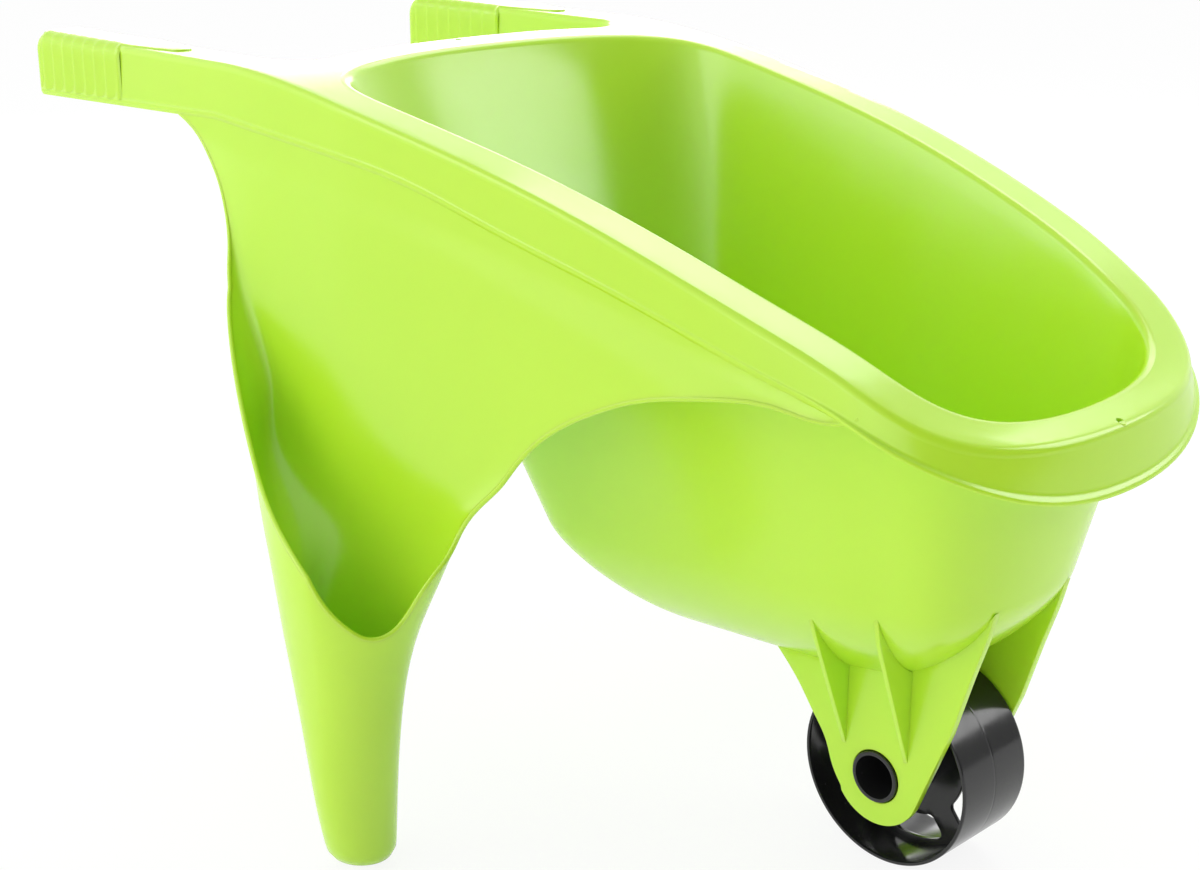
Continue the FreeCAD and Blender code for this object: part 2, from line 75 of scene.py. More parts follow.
# Side lines: place along the barrow, and height as a share of the level top.
RIM_LINE = [
    (-416.0, 1.0), (-353.4, 0.9909), (-256.5, 0.9554), (-142.5, 0.8994), (-28.5, 0.8166),
    (57.0, 0.7297), (100.1, 0.6760), (114.2, 0.6650), (140.0, 0.6426),
]
SKIRT_LINE = [
    (-416.0, 0.9236), (-330.6, 0.9092), (-239.4, 0.8863), (-165.3, 0.8447), (-94.6, 0.8043),
    (-31.9, 0.7613), (13.1, 0.7274), (42.8, 0.7027), (74.1, 0.6666), (100.1, 0.6311),
    (124.8, 0.5843), (140.0, 0.5511),
]
HANDLE_BOTTOM_REAR = 0.9067

# Side scoop and leg: height share, rear end, front end, then how far the panel,
# the middle and the outer wall stand outside the skirt, and the squareness of the
# section on its panel side and on its outer side.
LEG_AXIS = -213.5
FOOT_STEPS = 72
LEG_ROWS = [
    (0.0, -233.2, -193.8, 51.6, 68.4, 85.5, 2.0, 2.0),
    (0.0261, -233.7, -193.2, 51.0, 68.4, 88.6, 2.0, 2.0),
    (0.1955, -247.8, -188.5, 46.4, 69.5, 95.1, 2.1, 2.0),
    (0.3259, -267.0, -183.4, 33.9, 63.8, 96.3, 2.3, 2.0),
    (0.4041, -286.3, -174.1, 22.8, 55.0, 98.7, 2.6, 1.7),
    (0.4953, -333.5, -155.5, 17.1, 34.0, 95.6, 3.2, 1.4),
    (0.5749, -349.0, -95.0, 12.5, 24.0, 95.0, 4.0, 1.6),
    (0.6869, -383.0, 40.0, 6.4, 18.0, 66.0, 5.0, 2.0),
    (0.7951, -404.0, 75.0, 2.6, 11.0, 50.0, 5.0, 2.0),
    (0.8804, -447.0, 80.0, -0.4, 8.0, 45.0, 5.0, 2.0),
    (0.9719, -520.0, 80.0, -1.7, 8.0, 45.0, 5.0, 2.0),
]

# Width of one degree round the leg, in millimetres, where its wall is laid out flat.
DEGREE = 1.6

# Free edge of the side panel, from the handle down round the scoop and up the
# arch: turn about the leg in degrees, counted on past the outer side, and height.
FREE_EDGE = [
    (232.0, 0.9260), (229.5, 0.9101), (229.0, 0.8987), (229.5, 0.8827), (232.5, 0.8438), (239.5, 0.8004),
    (251.5, 0.7523), (264.0, 0.7203), (273.0, 0.6860), (286.5, 0.6266), (295.5, 0.5850), (304.0, 0.5400),
    (312.0, 0.5080), (331.0, 0.4711), (351.5, 0.4413), (373.0, 0.3979), (400.0, 0.3613), (414.0, 0.3490),
    (427.0, 0.3450), (440.0, 0.3485), (448.0, 0.3570), (454.5, 0.3740), (459.4, 0.3960), (468.0, 0.4195),
    (477.0, 0.4320), (485.0, 0.4470), (490.5, 0.4650), (492.5, 0.4860), (493.5, 0.5060), (495.5, 0.5237),
    (501.5, 0.5500), (507.7, 0.5830), (510.5, 0.6100), (511.3, 0.6360), (510.5, 0.6620), (508.0, 0.6860),
    (504.0, 0.6997), (499.5, 0.7066), (493.0, 0.6997), (486.0, 0.6962), (478.0, 0.6985), (468.0, 0.7070),
]

# Fork ear seen from the side, and its two gussets: place along, then root
# height, reach across and top height.
EAR_REAR = [(-24.5, 41.6), (-31.5, 52.4), (-37.0, 66.7), (-47.9, 82.1), (-57.6, 95.2), (-79.0, 117.0)]
EAR_FRONT = [(49.0, 100.9), (54.2, 119.1), (62.1, 145.9), (67.3, 162.5), (71.8, 181.0)]
GUSSETS = [(-25.0, 68.0, 62.1, 132.5), (18.8, 71.0, 61.3, 138.0)]

# Grip: length of its smooth collar, fall of its top at the rear end, and rounding
# of its section. The rear rim hole sits farther from the opening by REAR_HOLE_BACK.
COLLAR = 3.6
GRIP_FALL = 15.0
GRIP_ROUND = 8.5
REAR_HOLE_BACK = 4.9

# Wheel: turn of the first window's middle, and the widest angle that is a corner.
WINDOW_TURN = -81.0
CORNER_LIMIT = math.radians(160.0)

# Camera: turn from the right side towards the nose, height angle and roll in
# degrees, lens in millimetres, and place from the axle in metres.
CAMERA_TURN = 45.37
CAMERA_HEIGHT_ANGLE = 18.70
CAMERA_ROLL = 0.09
CAMERA_LENS = 57.4
CAMERA_PLACE = (0.5856, -0.8376, 0.5956)

# Points of a piece closer than this are one, in metres.
MERGE = 2e-5


# ------------------------------------------------------------------ properties
def length(name, description, millimetres):
    """Length property with its default given in millimetres."""
    return FloatProperty(name=name, description=description, default=millimetres / 1000.0,
                         min=0.0, subtype="DISTANCE", unit="LENGTH", precision=4)


def height(name, description, millimetres):
    """Signed place along an axis, with its default given in millimetres."""
    return FloatProperty(name=name, description=description, default=millimetres / 1000.0,
                         subtype="DISTANCE", unit="LENGTH", precision=4)


def share(name, description, value):
    """Plain ratio."""
    return FloatProperty(name=name, description=description, default=value, precision=3)


class BarrowSizes(bpy.types.PropertyGroup):
    """Sizes of the green body moulding."""

    level_top: length("Level top", "Height of the handles and the rear rim", 437.3)
    handle_reach: length("Handle reach", "From the axle back to the handle ends", 633.5)
    wall: length("Wall", "Thickness of the moulding", 2.5)
    opening_length: length("Opening length", "Tub opening along the barrow", 478.7)
    opening_half: length("Opening half width", "Half of the tub opening across", 154.4)
    opening_front: height("Opening front", "Front edge of the opening, ahead of the axle", 100.1)
    rim_side: length("Rim width at the sides", "From the opening to the skirt", 26.8)
    rim_nose: length("Rim width at the nose", "From the opening to the skirt", 21.4)
    rim_edge: length("Rim edge", "Depth of the rounding over the outer edge", 4.6)
    lip_out: length("Lip reach", "How far the lip stands out under the skirt", 2.9)
    lip_height: length("Lip height", "Height of the lip under the skirt", 2.8)
    rim_hole: length("Rim hole radius", "Radius of the holes in the rim", 2.6)
    rim_hole_inset: length("Rim hole inset", "From the opening to a hole in the rim", 14.0)
    handle_width: length("Handle width", "Width of a handle", 34.6)
    handle_corner: length("Handle corner", "Rounding of the handle end seen from above", 9.0)
    handle_root: length("Handle root", "Rounding between handle and rear rim", 26.0)
    grip_length: length("Grip length", "Length of the ridged grip", 110.0)
    grip_raise: length("Grip raise", "How far the grip stands over the handle", 1.3)
    grip_depth: length("Ridge depth", "Depth of the steps between the ridges", 1.7)
    grip_ridges: IntProperty(name="Grip ridges", description="Ridges on one grip", default=8, min=1)
    tongue_length: length("Tongue length", "Raised strip ahead of the grip", 54.0)
    tongue_width: length("Tongue width", "Width of the raised strip at the collar", 28.0)
    tub_inset: length("Tub inset", "Outer skin of the tub inside the opening's edge", 2.3)
    floor_rear: height("Floor rear", "Rear end of the tub floor", -222.9)
    floor_front: height("Floor front", "Front end of the tub floor", 64.0)
    floor_slope: share("Floor slope", "Rise of the floor towards the nose", 0.042)
    wheel_gap: length("Wheel gap", "Between the wheel and the floor above it", 2.4)
    floor_flat: share("Floor flat", "Half width of the level floor as a share of its corner line", 0.45)
    floor_width: share("Floor width", "Width of the floor as a share of the opening", 0.5)
    bottom_reach: length("Bottom reach", "How far up the walls the bottom rounding starts", 65.4)
    bottom_weight: share("Bottom weight", "Fullness of the bottom rounding", 0.43)
    edge_bead: length("Edge bead", "Radius of the bead along the free edge", 1.5)
    foot_round: length("Foot rounding", "Rounding under the foot", 10.8)
    ear_inner: length("Ear inner face", "From the middle plane to the ear", 31.4)
    ear_thickness: length("Ear thickness", "Thickness of a fork ear", 5.4)
    ear_bottom: length("Ear bottom radius", "Rounding below the axle", 30.0)
    gusset_thickness: length("Gusset thickness", "Thickness of a gusset", 3.0)


class WheelSizes(bpy.types.PropertyGroup):
    """Sizes of the black wheel moulding."""

    radius: length("Radius", "Outer radius of the wheel", 57.0)
    width: length("Width", "Width of the tread", 58.8)
    rim: length("Rim", "Thickness of the rim", 2.4)
    web: length("Web", "Thickness of the web", 3.0)
    hub_radius: length("Hub radius", "Outer radius of the hub tube", 15.6)
    hub_wall: length("Hub wall", "Wall of the hub tube", 2.6)
    hub_reach: length("Hub reach", "From the middle plane to the end of the hub", 38.2)
    shoulder: length("Hub shoulder", "Radius of the hub between the ears", 18.6)
    windows: IntProperty(name="Windows", description="Openings in the web", default=6, min=2)
    window_inner: length("Window inner radius", "Inner end of a window", 36.0)
    window_outer: length("Window outer radius", "Outer end of a window", 51.0)
    spoke: length("Spoke", "Width of the web left between two windows", 15.5)
    corner: length("Window corner", "Rounding of a window's corners", 4.5)
    axle_clearance: length("Axle clearance", "Play between hub and ear", 0.6)


class BarrowColours(bpy.types.PropertyGroup):
    """Base colours of the two plastics."""

    green: FloatVectorProperty(name="Green", description="Body plastic", subtype="COLOR", size=4,
                               default=(0.50, 0.79, 0.035, 1.0), min=0.0, max=1.0)
    green_deep: FloatVectorProperty(name="Deep green", description="Darker drift", subtype="COLOR", size=4,
                                    default=(0.47, 0.76, 0.028, 1.0), min=0.0, max=1.0)
    black: FloatVectorProperty(name="Black", description="Wheel plastic", subtype="COLOR", size=4,
                               default=(0.012, 0.012, 0.013, 1.0), min=0.0, max=1.0)
    floor: FloatVectorProperty(name="Floor", description="Colour of the floor", subtype="COLOR", size=4,
                               default=(0.96, 0.96, 0.96, 1.0), min=0.0, max=1.0)


# ---------------------------------------------------------------------- curves
def mm(value):
    """Millimetres from a length in metres."""
    return value * 1000.0


def clamped_curve(poles, t):
    """Points of an evenly knotted cubic curve that starts and ends on its control points."""
    poles = np.asarray(poles, float)
    last = len(poles) - 3
    knots = np.concatenate([[0.0] * 3, np.arange(last + 1.0), [float(last)] * 3])
    t = np.clip(np.atleast_1d(np.asarray(t, float)), 0.0, last - 1e-9)
    span = np.floor(t).astype(int) + 3
    work = [poles[span - 3 + j] for j in range(4)]
    for level in range(1, 4):
        for j in range(3, level - 1, -1):
            low = knots[j + span - 3]
            high = knots[j + 1 + span - level]
            mix = ((t - low) / (high - low))[:, None]
            work[j] = (1.0 - mix) * work[j - 1] + mix * work[j]
    return work[3]


def smooth_line(places, values, start_slope=None):
    """Smooth function through values at rising places, straight beyond its ends."""
    x = np.asarray(places, float)
    y = np.asarray(values, float).reshape(len(x), -1)
    count = len(x)
    gap = np.diff(x)
    slope = np.diff(y, axis=0) / gap[:, None]
    matrix = np.zeros((count, count))
    right = np.zeros_like(y)
    matrix[0, 0] = 1.0
    matrix[-1, -1] = 1.0
    for i in range(1, count - 1):
        matrix[i, i - 1] = gap[i - 1]
        matrix[i, i] = 2.0 * (gap[i - 1] + gap[i])
        matrix[i, i + 1] = gap[i]
        right[i] = 6.0 * (slope[i] - slope[i - 1])
    if start_slope is not None:
        matrix[0, 0] = 2.0 * gap[0]
        matrix[0, 1] = gap[0]
        right[0] = 6.0 * (slope[0] - start_slope)
    bend = np.linalg.solve(matrix, right)

    def value(at):
        at = np.asarray(at, float)
        flat = np.clip(at.ravel(), x[0], x[-1])
        i = np.clip(np.searchsorted(x, flat) - 1, 0, count - 2)
        h = gap[i][:, None]
        a = (x[i + 1] - flat)[:, None] / h
        b = 1.0 - a
        result = a * y[i] + b * y[i + 1] + ((a ** 3 - a) * bend[i] + (b ** 3 - b) * bend[i + 1]) * h * h / 6.0
        low_slope = slope[0] - gap[0] * (2.0 * bend[0] + bend[1]) / 6.0
        high_slope = slope[-1] + gap[-1] * (bend[-2] + 2.0 * bend[-1]) / 6.0
        over = at.ravel() - flat
        result = result + np.where(over[:, None] < 0.0, over[:, None] * low_slope, over[:, None] * high_slope)
        return result.reshape(at.shape + (y.shape[1],)) if y.shape[1] > 1 else result[:, 0].reshape(at.shape)

    return value


def path_through(points, spacing):
    """Evenly spaced points on a smooth curve through the given ones."""
    points = np.asarray(points, float)
    run = np.concatenate([[0.0], np.cumsum(np.linalg.norm(np.diff(points, axis=0), axis=1))])
    curve = smooth_line(run, points)
    fine = curve(np.linspace(0.0, run[-1], 40 * len(points)))
    along = np.concatenate([[0.0], np.cumsum(np.linalg.norm(np.diff(fine, axis=0), axis=1))])
    count = max(2, int(round(along[-1] / spacing)) + 1)
    even = np.linspace(0.0, along[-1], count)
    return np.stack([np.interp(even, along, fine[:, k]) for k in range(points.shape[1])], axis=1)


def arc(centre, radius, start, end, step=8.0):
    """Points of a circular arc between two angles in degrees."""
    count = max(2, int(math.ceil(abs(end - start) / step)) + 1)
    turn = np.radians(np.linspace(start, end, count))
    return np.stack([centre[0] + radius * np.cos(turn), centre[1] + radius * np.sin(turn)], axis=1)


def ease(value):
    """Soft step from 0 to 1."""
    value = np.clip(value, 0.0, 1.0)
    return value * value * (3.0 - 2.0 * value)


def unit(vectors):
    """Vectors scaled to length one."""
    return vectors / np.maximum(np.linalg.norm(vectors, axis=-1, keepdims=True), 1e-12)


# ------------------------------------------------------------------------ form
class Form:
    """Shape of the body moulding worked out from its sizes, in millimetres from the axle."""

    def __init__(self, sizes, wheel):
        self.s = sizes
        self.wall = mm(sizes.wall)
        self.top = mm(sizes.level_top)
        self.radius = mm(wheel.radius)
        self.rear = mm(sizes.opening_front) - mm(sizes.opening_length)
        span = (mm(sizes.opening_length), mm(sizes.opening_half))
        self.poles = [(self.rear + a * span[0], b * span[1]) for a, b in OPENING_SHAPE]
        self.rim_z = self.side_line(RIM_LINE, 0.0)
        self.skirt_curve = self.side_line(SKIRT_LINE, None)
        fine = np.linspace(0.5, 3.5, 3001)
        self.widest = fine[np.argmax(clamped_curve(self.poles, fine)[:, 1])]
        us = np.linspace(self.widest, OPENING_END, 160)
        edge = self.offset(us, self.rim_reach(us))
        self.outer = edge[0, 1]
        self.widest_x = edge[0, 0]
        keep = np.concatenate([[True], np.diff(edge[:, 0]) > 0.4])
        self.skirt_side = smooth_line(edge[keep, 0], edge[keep, 1], 0.0)
        rows = np.asarray(LEG_ROWS)
        self.leg_row = smooth_line(rows[:, 0] * self.top, rows[:, 1:])

    def side_line(self, line, start_slope):
        """Height over a place along the barrow for one side line."""
        return smooth_line([x for x, z in line], [z * self.top for x, z in line], start_slope)

    def rim_top(self, x):
        """Height of the rim's flat top."""
        return np.where(np.asarray(x) < RIM_LINE[0][0], self.top, self.rim_z(x))

    def skirt_z(self, x):
        """Height of the skirt's lower edge."""
        x = np.asarray(x, float)
        start_x, start_z = SKIRT_LINE[0]
        back = (start_x - x) / (start_x + mm(self.s.handle_reach))
        handle = self.top * (start_z + (HANDLE_BOTTOM_REAR - start_z) * back)
        return np.where(x < start_x, handle, self.skirt_curve(x))

    def opening(self, u):
        """Point on the edge of the tub opening, left half."""
        return clamped_curve(self.poles, u)

    def outward(self, u):
        """Direction square to the opening's edge, away from the tub."""
        u = np.atleast_1d(np.asarray(u, float))
        step = 1e-3
        ahead = self.opening(np.minimum(u + step, OPENING_END)) - self.opening(np.maximum(u - step, 0.0))
        normal = np.stack([-ahead[:, 1], ahead[:, 0]], axis=1)
        normal[u <= 0.0] = (-1.0, 0.0)
        normal[u >= OPENING_END] = (1.0, 0.0)
        return unit(normal)

    def rim_reach(self, u):
        """Distance from the opening's edge to the skirt, less at the nose."""
        lead = np.maximum(0.0, self.outward(u)[:, 0]) ** 2
        return mm(self.s.rim_side) - (mm(self.s.rim_side) - mm(self.s.rim_nose)) * lead

    def offset(self, u, distance):
        """Point at a distance outside the opening's edge."""
        u = np.atleast_1d(np.asarray(u, float))
        return self.opening(u) + self.outward(u) * np.broadcast_to(distance, u.shape)[:, None]

    def skirt_y(self, x):
        """Distance of the skirt from the middle plane."""
        return np.where(np.asarray(x) <= self.widest_x, self.outer, self.skirt_side(x))

    def floor_z(self, x):
        """Height of the tub's underside at the floor."""
        return 2.0 * self.radius + mm(self.s.wheel_gap) + self.s.floor_slope * x

    def tub(self, u, t):
        """Outer skin of the tub: t from 0 at the rim to 1 is wall, then the rounded bottom to 2."""
        s = self.s
        shape = np.broadcast(u, t).shape
        u = np.broadcast_to(u, shape).ravel()
        t = np.broadcast_to(t, shape).ravel()[:, None]
        top = self.offset(u, -mm(s.tub_inset))
        top = np.column_stack([top, self.rim_top(top[:, 0])])
        share_along = (top[:, 0] - self.rear) / mm(s.opening_length)
        x = mm(s.floor_rear) + share_along * mm(s.floor_front - s.floor_rear)
        y = top[:, 1] * s.floor_width * (1.0 - 0.035 * (share_along - 0.4))
        corner = np.column_stack([x, y, self.floor_z(x)])
        middle = mm(s.floor_rear + s.floor_front) / 2.0
        flat_x = middle + (x - middle) * 0.54
        flat = np.column_stack([flat_x, y * s.floor_flat, self.floor_z(flat_x)])
        bend = corner + unit(top - corner) * mm(s.bottom_reach)
        wall = top * (1.0 - t) + bend * t
        along = np.clip(t - 1.0, 0.0, 1.0)
        a = (1.0 - along) ** 2
        b = 2.0 * s.bottom_weight * along * (1.0 - along)
        c = along * along
        bottom = (bend * a + corner * b + flat * c) / (a + b + c)
        return np.where(t <= 1.0, wall, bottom).reshape(shape + (3,))

    def tub_inside(self, u, t):
        """Inner skin of the tub, one wall thickness inside the outer one."""
        u = np.asarray(u, float)
        t = np.asarray(t, float)
        step = 2e-3
        around = self.tub(np.minimum(u + step, OPENING_END), t) - self.tub(np.maximum(u - step, 0.0), t)
        down = self.tub(u, np.minimum(t + step, 2.0)) - self.tub(u, np.maximum(t - step, 0.0))
        inward = unit(np.cross(down, around))
        shape = np.broadcast(u, t).shape
        middle = (np.broadcast_to(u, shape) <= 0.0) | (np.broadcast_to(u, shape) >= OPENING_END)
        inward[..., 1] = np.where(middle, 0.0, inward[..., 1])
        floor = np.broadcast_to(t, shape)[..., None] >= 2.0
        inward = np.where(floor, np.array([0.0, 0.0, 1.0]), unit(inward))
        return self.tub(u, t) + inward * self.wall

    def leg(self, turn, z, inset):
        """Scoop and leg wall: turn is 0 outward, 90 forward, 180 at the panel, 270 to the rear."""
        row = self.leg_row(z)
        rear, front, panel, middle, outer, square, full = [row[..., k] for k in range(7)]
        angle = np.radians(turn)
        ahead = np.sin(angle)
        out = np.cos(angle)
        power = np.where(out < 0.0, square, full)
        size = (np.abs(ahead) ** power + np.abs(out) ** power) ** (1.0 / power)
        s = ahead / size
        depth = np.abs(out) / size
        reach = np.where(s < 0.0, LEG_AXIS - rear, front - LEG_AXIS)
        x = LEG_AXIS + (reach - inset) * s
        inside = panel - self.wall + inset
        q = np.where(out < 0.0, middle - (middle - inside) * depth, middle + (outer - inset - middle) * depth)
        flush = 1.0 - ease((self.skirt_z(x) - z) / 30.0)
        q = q + flush * (inset - self.wall - 0.35 - q) * (out < 0.0)
        return np.stack([x, self.skirt_y(x) + q, np.broadcast_to(z, x.shape)], axis=-1)

    def outline(self):
        """Rim and left handle seen from above: points and outward directions from nose to rear."""
        s = self.s
        us = np.concatenate([np.linspace(OPENING_END, 4.0, 60), np.linspace(4.0, self.widest, 80)[1:]])
        points = [self.offset(us, self.rim_reach(us))]
        normals = [self.outward(us)]
        inner = self.outer - mm(s.handle_width)
        rear = -mm(s.handle_reach)
        corner = mm(s.handle_corner)

        def line(start, end, normal, spacing=6.0):
            count = max(2, int(np.linalg.norm(np.subtract(end, start)) / spacing))
            mix = np.linspace(0.0, 1.0, count + 1)[1:, None]
            points.append(np.asarray(start) * (1.0 - mix) + np.asarray(end) * mix)
            normals.append(np.repeat([normal], count, axis=0))

        def bend(centre, radius, start, end, sign):
            ring = arc(centre, radius, start, end, 6.0)[1:]
            points.append(ring)
            normals.append(sign * (ring - np.asarray(centre)) / radius)

        before = rear + mm(s.grip_length) + 0.1
        tucked = rear + mm(s.grip_length) - 3.4
        line((self.widest_x, self.outer), (before, self.outer), (0.0, 1.0))
        line((before, self.outer), (tucked, self.outer), (0.0, 1.0), 1.2)
        line((tucked, self.outer), (rear + corner, self.outer), (0.0, 1.0))
        bend((rear + corner, self.outer - corner), corner, 90.0, 180.0, 1.0)
        line((rear, self.outer - corner), (rear, inner + corner), (-1.0, 0.0), 2.5)
        bend((rear + corner, inner + corner), corner, 180.0, 270.0, 1.0)
        root = mm(s.handle_root)
        low, high = 0.0, self.widest
        for step in range(50):
            middle = (low + high) / 2.0
            if self.offset(middle, mm(s.rim_side) + root)[0, 1] < inner - root:
                low = middle
            else:
                high = middle
        centre = self.offset(low, mm(s.rim_side) + root)[0]
        away = self.outward(low)[0]
        line((rear + corner, inner), (tucked, inner), (0.0, -1.0))
        line((tucked, inner), (before, inner), (0.0, -1.0), 1.2)
        line((before, inner), (centre[0], inner), (0.0, -1.0))
        bend(centre, root, 90.0, math.degrees(math.atan2(-away[1], -away[0])), -1.0)
        us = np.linspace(low, 0.0, 50)[1:]
        points.append(self.offset(us, mm(s.rim_side)))
        normals.append(self.outward(us))
        return np.concatenate(points), np.concatenate(normals)


# ----------------------------------------------------------------- mesh helpers
def to_frame(points):
    """Points in millimetres from the axle's foot, moved into the frame in metres."""
    low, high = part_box("wheel")
    scale = (high.z - low.z) / (2.0 * mm(bpy.context.scene.wheel_sizes.radius))
    moved = np.asarray(points, float) * scale
    moved[:, 0] += (low.x + high.x) / 2.0
    moved[:, 1] += (low.y + high.y) / 2.0
    return moved


class Build:
    """Collects points and faces of one piece."""

    def __init__(self):
        self.points = []
        self.faces = []
        self.count = 0

    def add(self, points, faces, flip=False):
        """Adds points with faces that count from their first point."""
        points = np.asarray(points, float).reshape(-1, 3)
        for face in faces:
            face = [int(i) + self.count for i in face]
            self.faces.append(face[::-1] if flip else face)
        self.points.append(points)
        self.count += len(points)

    def grid(self, rows, close_rows=False, close_columns=False, flip=False):
        """Adds a grid of points as four-sided faces."""
        rows = np.asarray(rows, float)
        high, wide = rows.shape[:2]
        faces = []
        for i in range(high if close_rows else high - 1):
            for j in range(wide if close_columns else wide - 1):
                k = (i + 1) % high
                m = (j + 1) % wide
                faces.append((i * wide + j, i * wide + m, k * wide + m, k * wide + j))
        self.add(rows.reshape(-1, 3), faces, flip)

    def finish(self, name, material, body, sharp, mirror=False):
        """Makes the object: merged, mirrored where asked, and smooth between its sharp edges."""
        mesh = bpy.data.meshes.new(name)
        bm = bmesh.new()
        verts = [bm.verts.new(p) for p in to_frame(np.concatenate(self.points))]
        for face in self.faces:
            corners = [verts[i] for i in face]
            if len(set(face)) == len(face) and bm.faces.get(corners) is None:
                bm.faces.new(corners)
        bmesh.ops.remove_doubles(bm, verts=bm.verts[:], dist=MERGE)
        if mirror:
            copy = bmesh.ops.duplicate(bm, geom=bm.verts[:] + bm.edges[:] + bm.faces[:])
            for item in copy["geom"]:
                if isinstance(item, bmesh.types.BMVert):
                    item.co.y = -item.co.y
            flipped = [item for item in copy["geom"] if isinstance(item, bmesh.types.BMFace)]
            bmesh.ops.reverse_faces(bm, faces=flipped)
            bmesh.ops.remove_doubles(bm, verts=bm.verts[:], dist=MERGE)
        bmesh.ops.dissolve_degenerate(bm, edges=bm.edges[:], dist=1e-6)
        bm.to_mesh(mesh)
        bm.free()
        mesh.shade_smooth()
        mesh.set_sharp_from_angle(angle=math.radians(sharp))
        obj = bpy.data.objects.new(name, mesh)
        bpy.context.scene.collection.objects.link(obj)
        mesh.materials.append(material)
        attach(obj, body)
        return obj


def on_middle(row):
    """Sets both ends of a row onto the middle plane."""
    row[0, 1] = 0.0
    row[-1, 1] = 0.0
    return row


def inside(points, outline):
    """Which points lie inside a closed outline."""
    x, y = points[:, 0], points[:, 1]
    result = np.zeros(len(points), bool)
    ahead = np.roll(outline, -1, axis=0)
    for (x0, y0), (x1, y1) in zip(outline, ahead):
        crosses = (y0 > y) != (y1 > y)
        if crosses.any():
            at = x0 + (y - y0) * (x1 - x0) / (y1 - y0 if y1 != y0 else 1.0)
            result ^= crosses & (x < at)
    return result


def within(points, outlines):
    """Which points lie inside the first outline and outside the others."""
    result = inside(points, np.asarray(outlines[0]))
    for hole in outlines[1:]:
        result &= ~inside(points, np.asarray(hole))
    return result


def clear_of(points, outline, distance):
    """Which points are at least a distance from every point of an outline."""
    result = np.ones(len(points), bool)
    for start in range(0, len(points), 2000):
        part = points[start:start + 2000]
        gap = np.linalg.norm(part[:, None, :] - outline[None, :, :], axis=2).min(axis=1)
        result[start:start + 2000] = gap > distance
    return result


def fill(outlines, spacing):
    """Triangles that fill the first outline around the others, with an even grid inside."""
    outer = np.asarray(outlines[0])
    low = outer.min(axis=0)
    high = outer.max(axis=0)
    xs, ys = np.meshgrid(np.arange(low[0], high[0], spacing), np.arange(low[1], high[1], spacing * 0.866))
    xs = xs + (np.arange(len(xs)) % 2)[:, None] * spacing / 2.0
    grid = np.column_stack([xs.ravel(), ys.ravel()])
    grid = grid[within(grid, outlines)]
    border = np.concatenate([np.asarray(o) for o in outlines])
    grid = grid[clear_of(grid, border, spacing * 0.55)]
    edges = []
    start = 0
    for outline in outlines:
        count = len(outline)
        edges += [(start + i, start + (i + 1) % count) for i in range(count)]
        start += count
    flat = [Vector(p) for p in np.concatenate([border, grid])]
    made = delaunay_2d_cdt(flat, edges, [], 0, 1e-5)
    points = np.array([tuple(v) for v in made[0]])
    faces = np.array([tuple(f) for f in made[2]])
    return points, faces[within(points[faces].mean(axis=1), outlines)]


def tube(build, path, radius, across, sides=10):
    """Round bead along a path; across gives a steady reference direction."""
    ahead = unit(np.gradient(path, axis=0))
    side = unit(np.cross(ahead, across))
    up = np.cross(side, ahead)
    turns = np.linspace(0.0, 2.0 * math.pi, sides, endpoint=False)
    rows = np.stack([path + radius * (math.cos(a) * side + math.sin(a) * up) for a in turns])
    build.grid(rows, close_rows=True)
    for end in (0, -1):
        build.add(rows[:, end], [list(range(sides))], flip=end == 0)


def plate(build, loops, low, high, place, bevel, spacing, flip):
    """Flat plate with softly broken edges: loops are its outline and its holes, place sets a point of it."""
    direction = 1.0 if high > low else -1.0
    inner = []
    for number, loop in enumerate(loops):
        area = np.sum(loop[:, 0] * np.roll(loop[:, 1], -1) - np.roll(loop[:, 0], -1) * loop[:, 1])
        if (area > 0.0) != (number == 0):
            loop = loop[::-1]
        before = unit(loop - np.roll(loop, 1, axis=0))
        after = unit(np.roll(loop, -1, axis=0) - loop)
        corner = unit(before + after)
        normal = np.stack([-corner[:, 1], corner[:, 0]], axis=1)
        stretch = 1.0 / np.maximum(0.5, np.sum(corner * after, axis=1))
        inward = normal * stretch[:, None]
        rows = []
        for turn in np.radians([0.0, 30.0, 60.0, 90.0]):
            flat = loop + inward * bevel * (1.0 - math.sin(turn))
            rows.append((flat, low + direction * bevel * (1.0 - math.cos(turn))))
        rows += [(flat, low + high - depth) for flat, depth in reversed(rows)]
        grid = [place(flat[:, 0], flat[:, 1], np.full(len(flat), depth)) for flat, depth in rows]
        build.grid(np.stack(grid), close_columns=True, flip=flip)
        inner.append(loop + inward * bevel)
    points, faces = fill(inner, spacing)
    for depth, down in ((low, True), (high, False)):
        build.add(place(points[:, 0], points[:, 1], np.full(len(points), depth)), faces, down != flip)


# ------------------------------------------------------------------- materials
def node(tree, kind, x, y, **values):
    """Adds a shader node; values set its sockets or its own settings."""
    made = tree.nodes.new(kind)
    made.location = (x, y)
    for key, value in values.items():
        name = key.replace("_", " ")
        if name in made.inputs:
            made.inputs[name].default_value = value
        else:
            setattr(made, key, value)
    return made


def linker(tree):
    """Function that joins one node's output to another node's input."""
    def link(source, output, target, socket):
        tree.links.new(source.outputs[output], target.inputs[socket])

    return link


def noise(tree, place, y, scale, detail, roughness):
    """Noise texture in the object's own space."""
    made = node(tree, "ShaderNodeTexNoise", -900, y, Scale=scale, Detail=detail, Roughness=roughness)
    tree.links.new(place.outputs["Object"], made.inputs["Vector"])
    return made


def new_material(name):
    """Empty node material with its output and main shader."""
    material = bpy.data.materials.new(name)
    material.use_nodes = True
    tree = material.node_tree
    tree.nodes.clear()
    output = node(tree, "ShaderNodeOutputMaterial", 900, 0)
    shader = node(tree, "ShaderNodeBsdfPrincipled", 600, 0)
    tree.links.new(shader.outputs["BSDF"], output.inputs["Surface"])
    return material, tree, shader


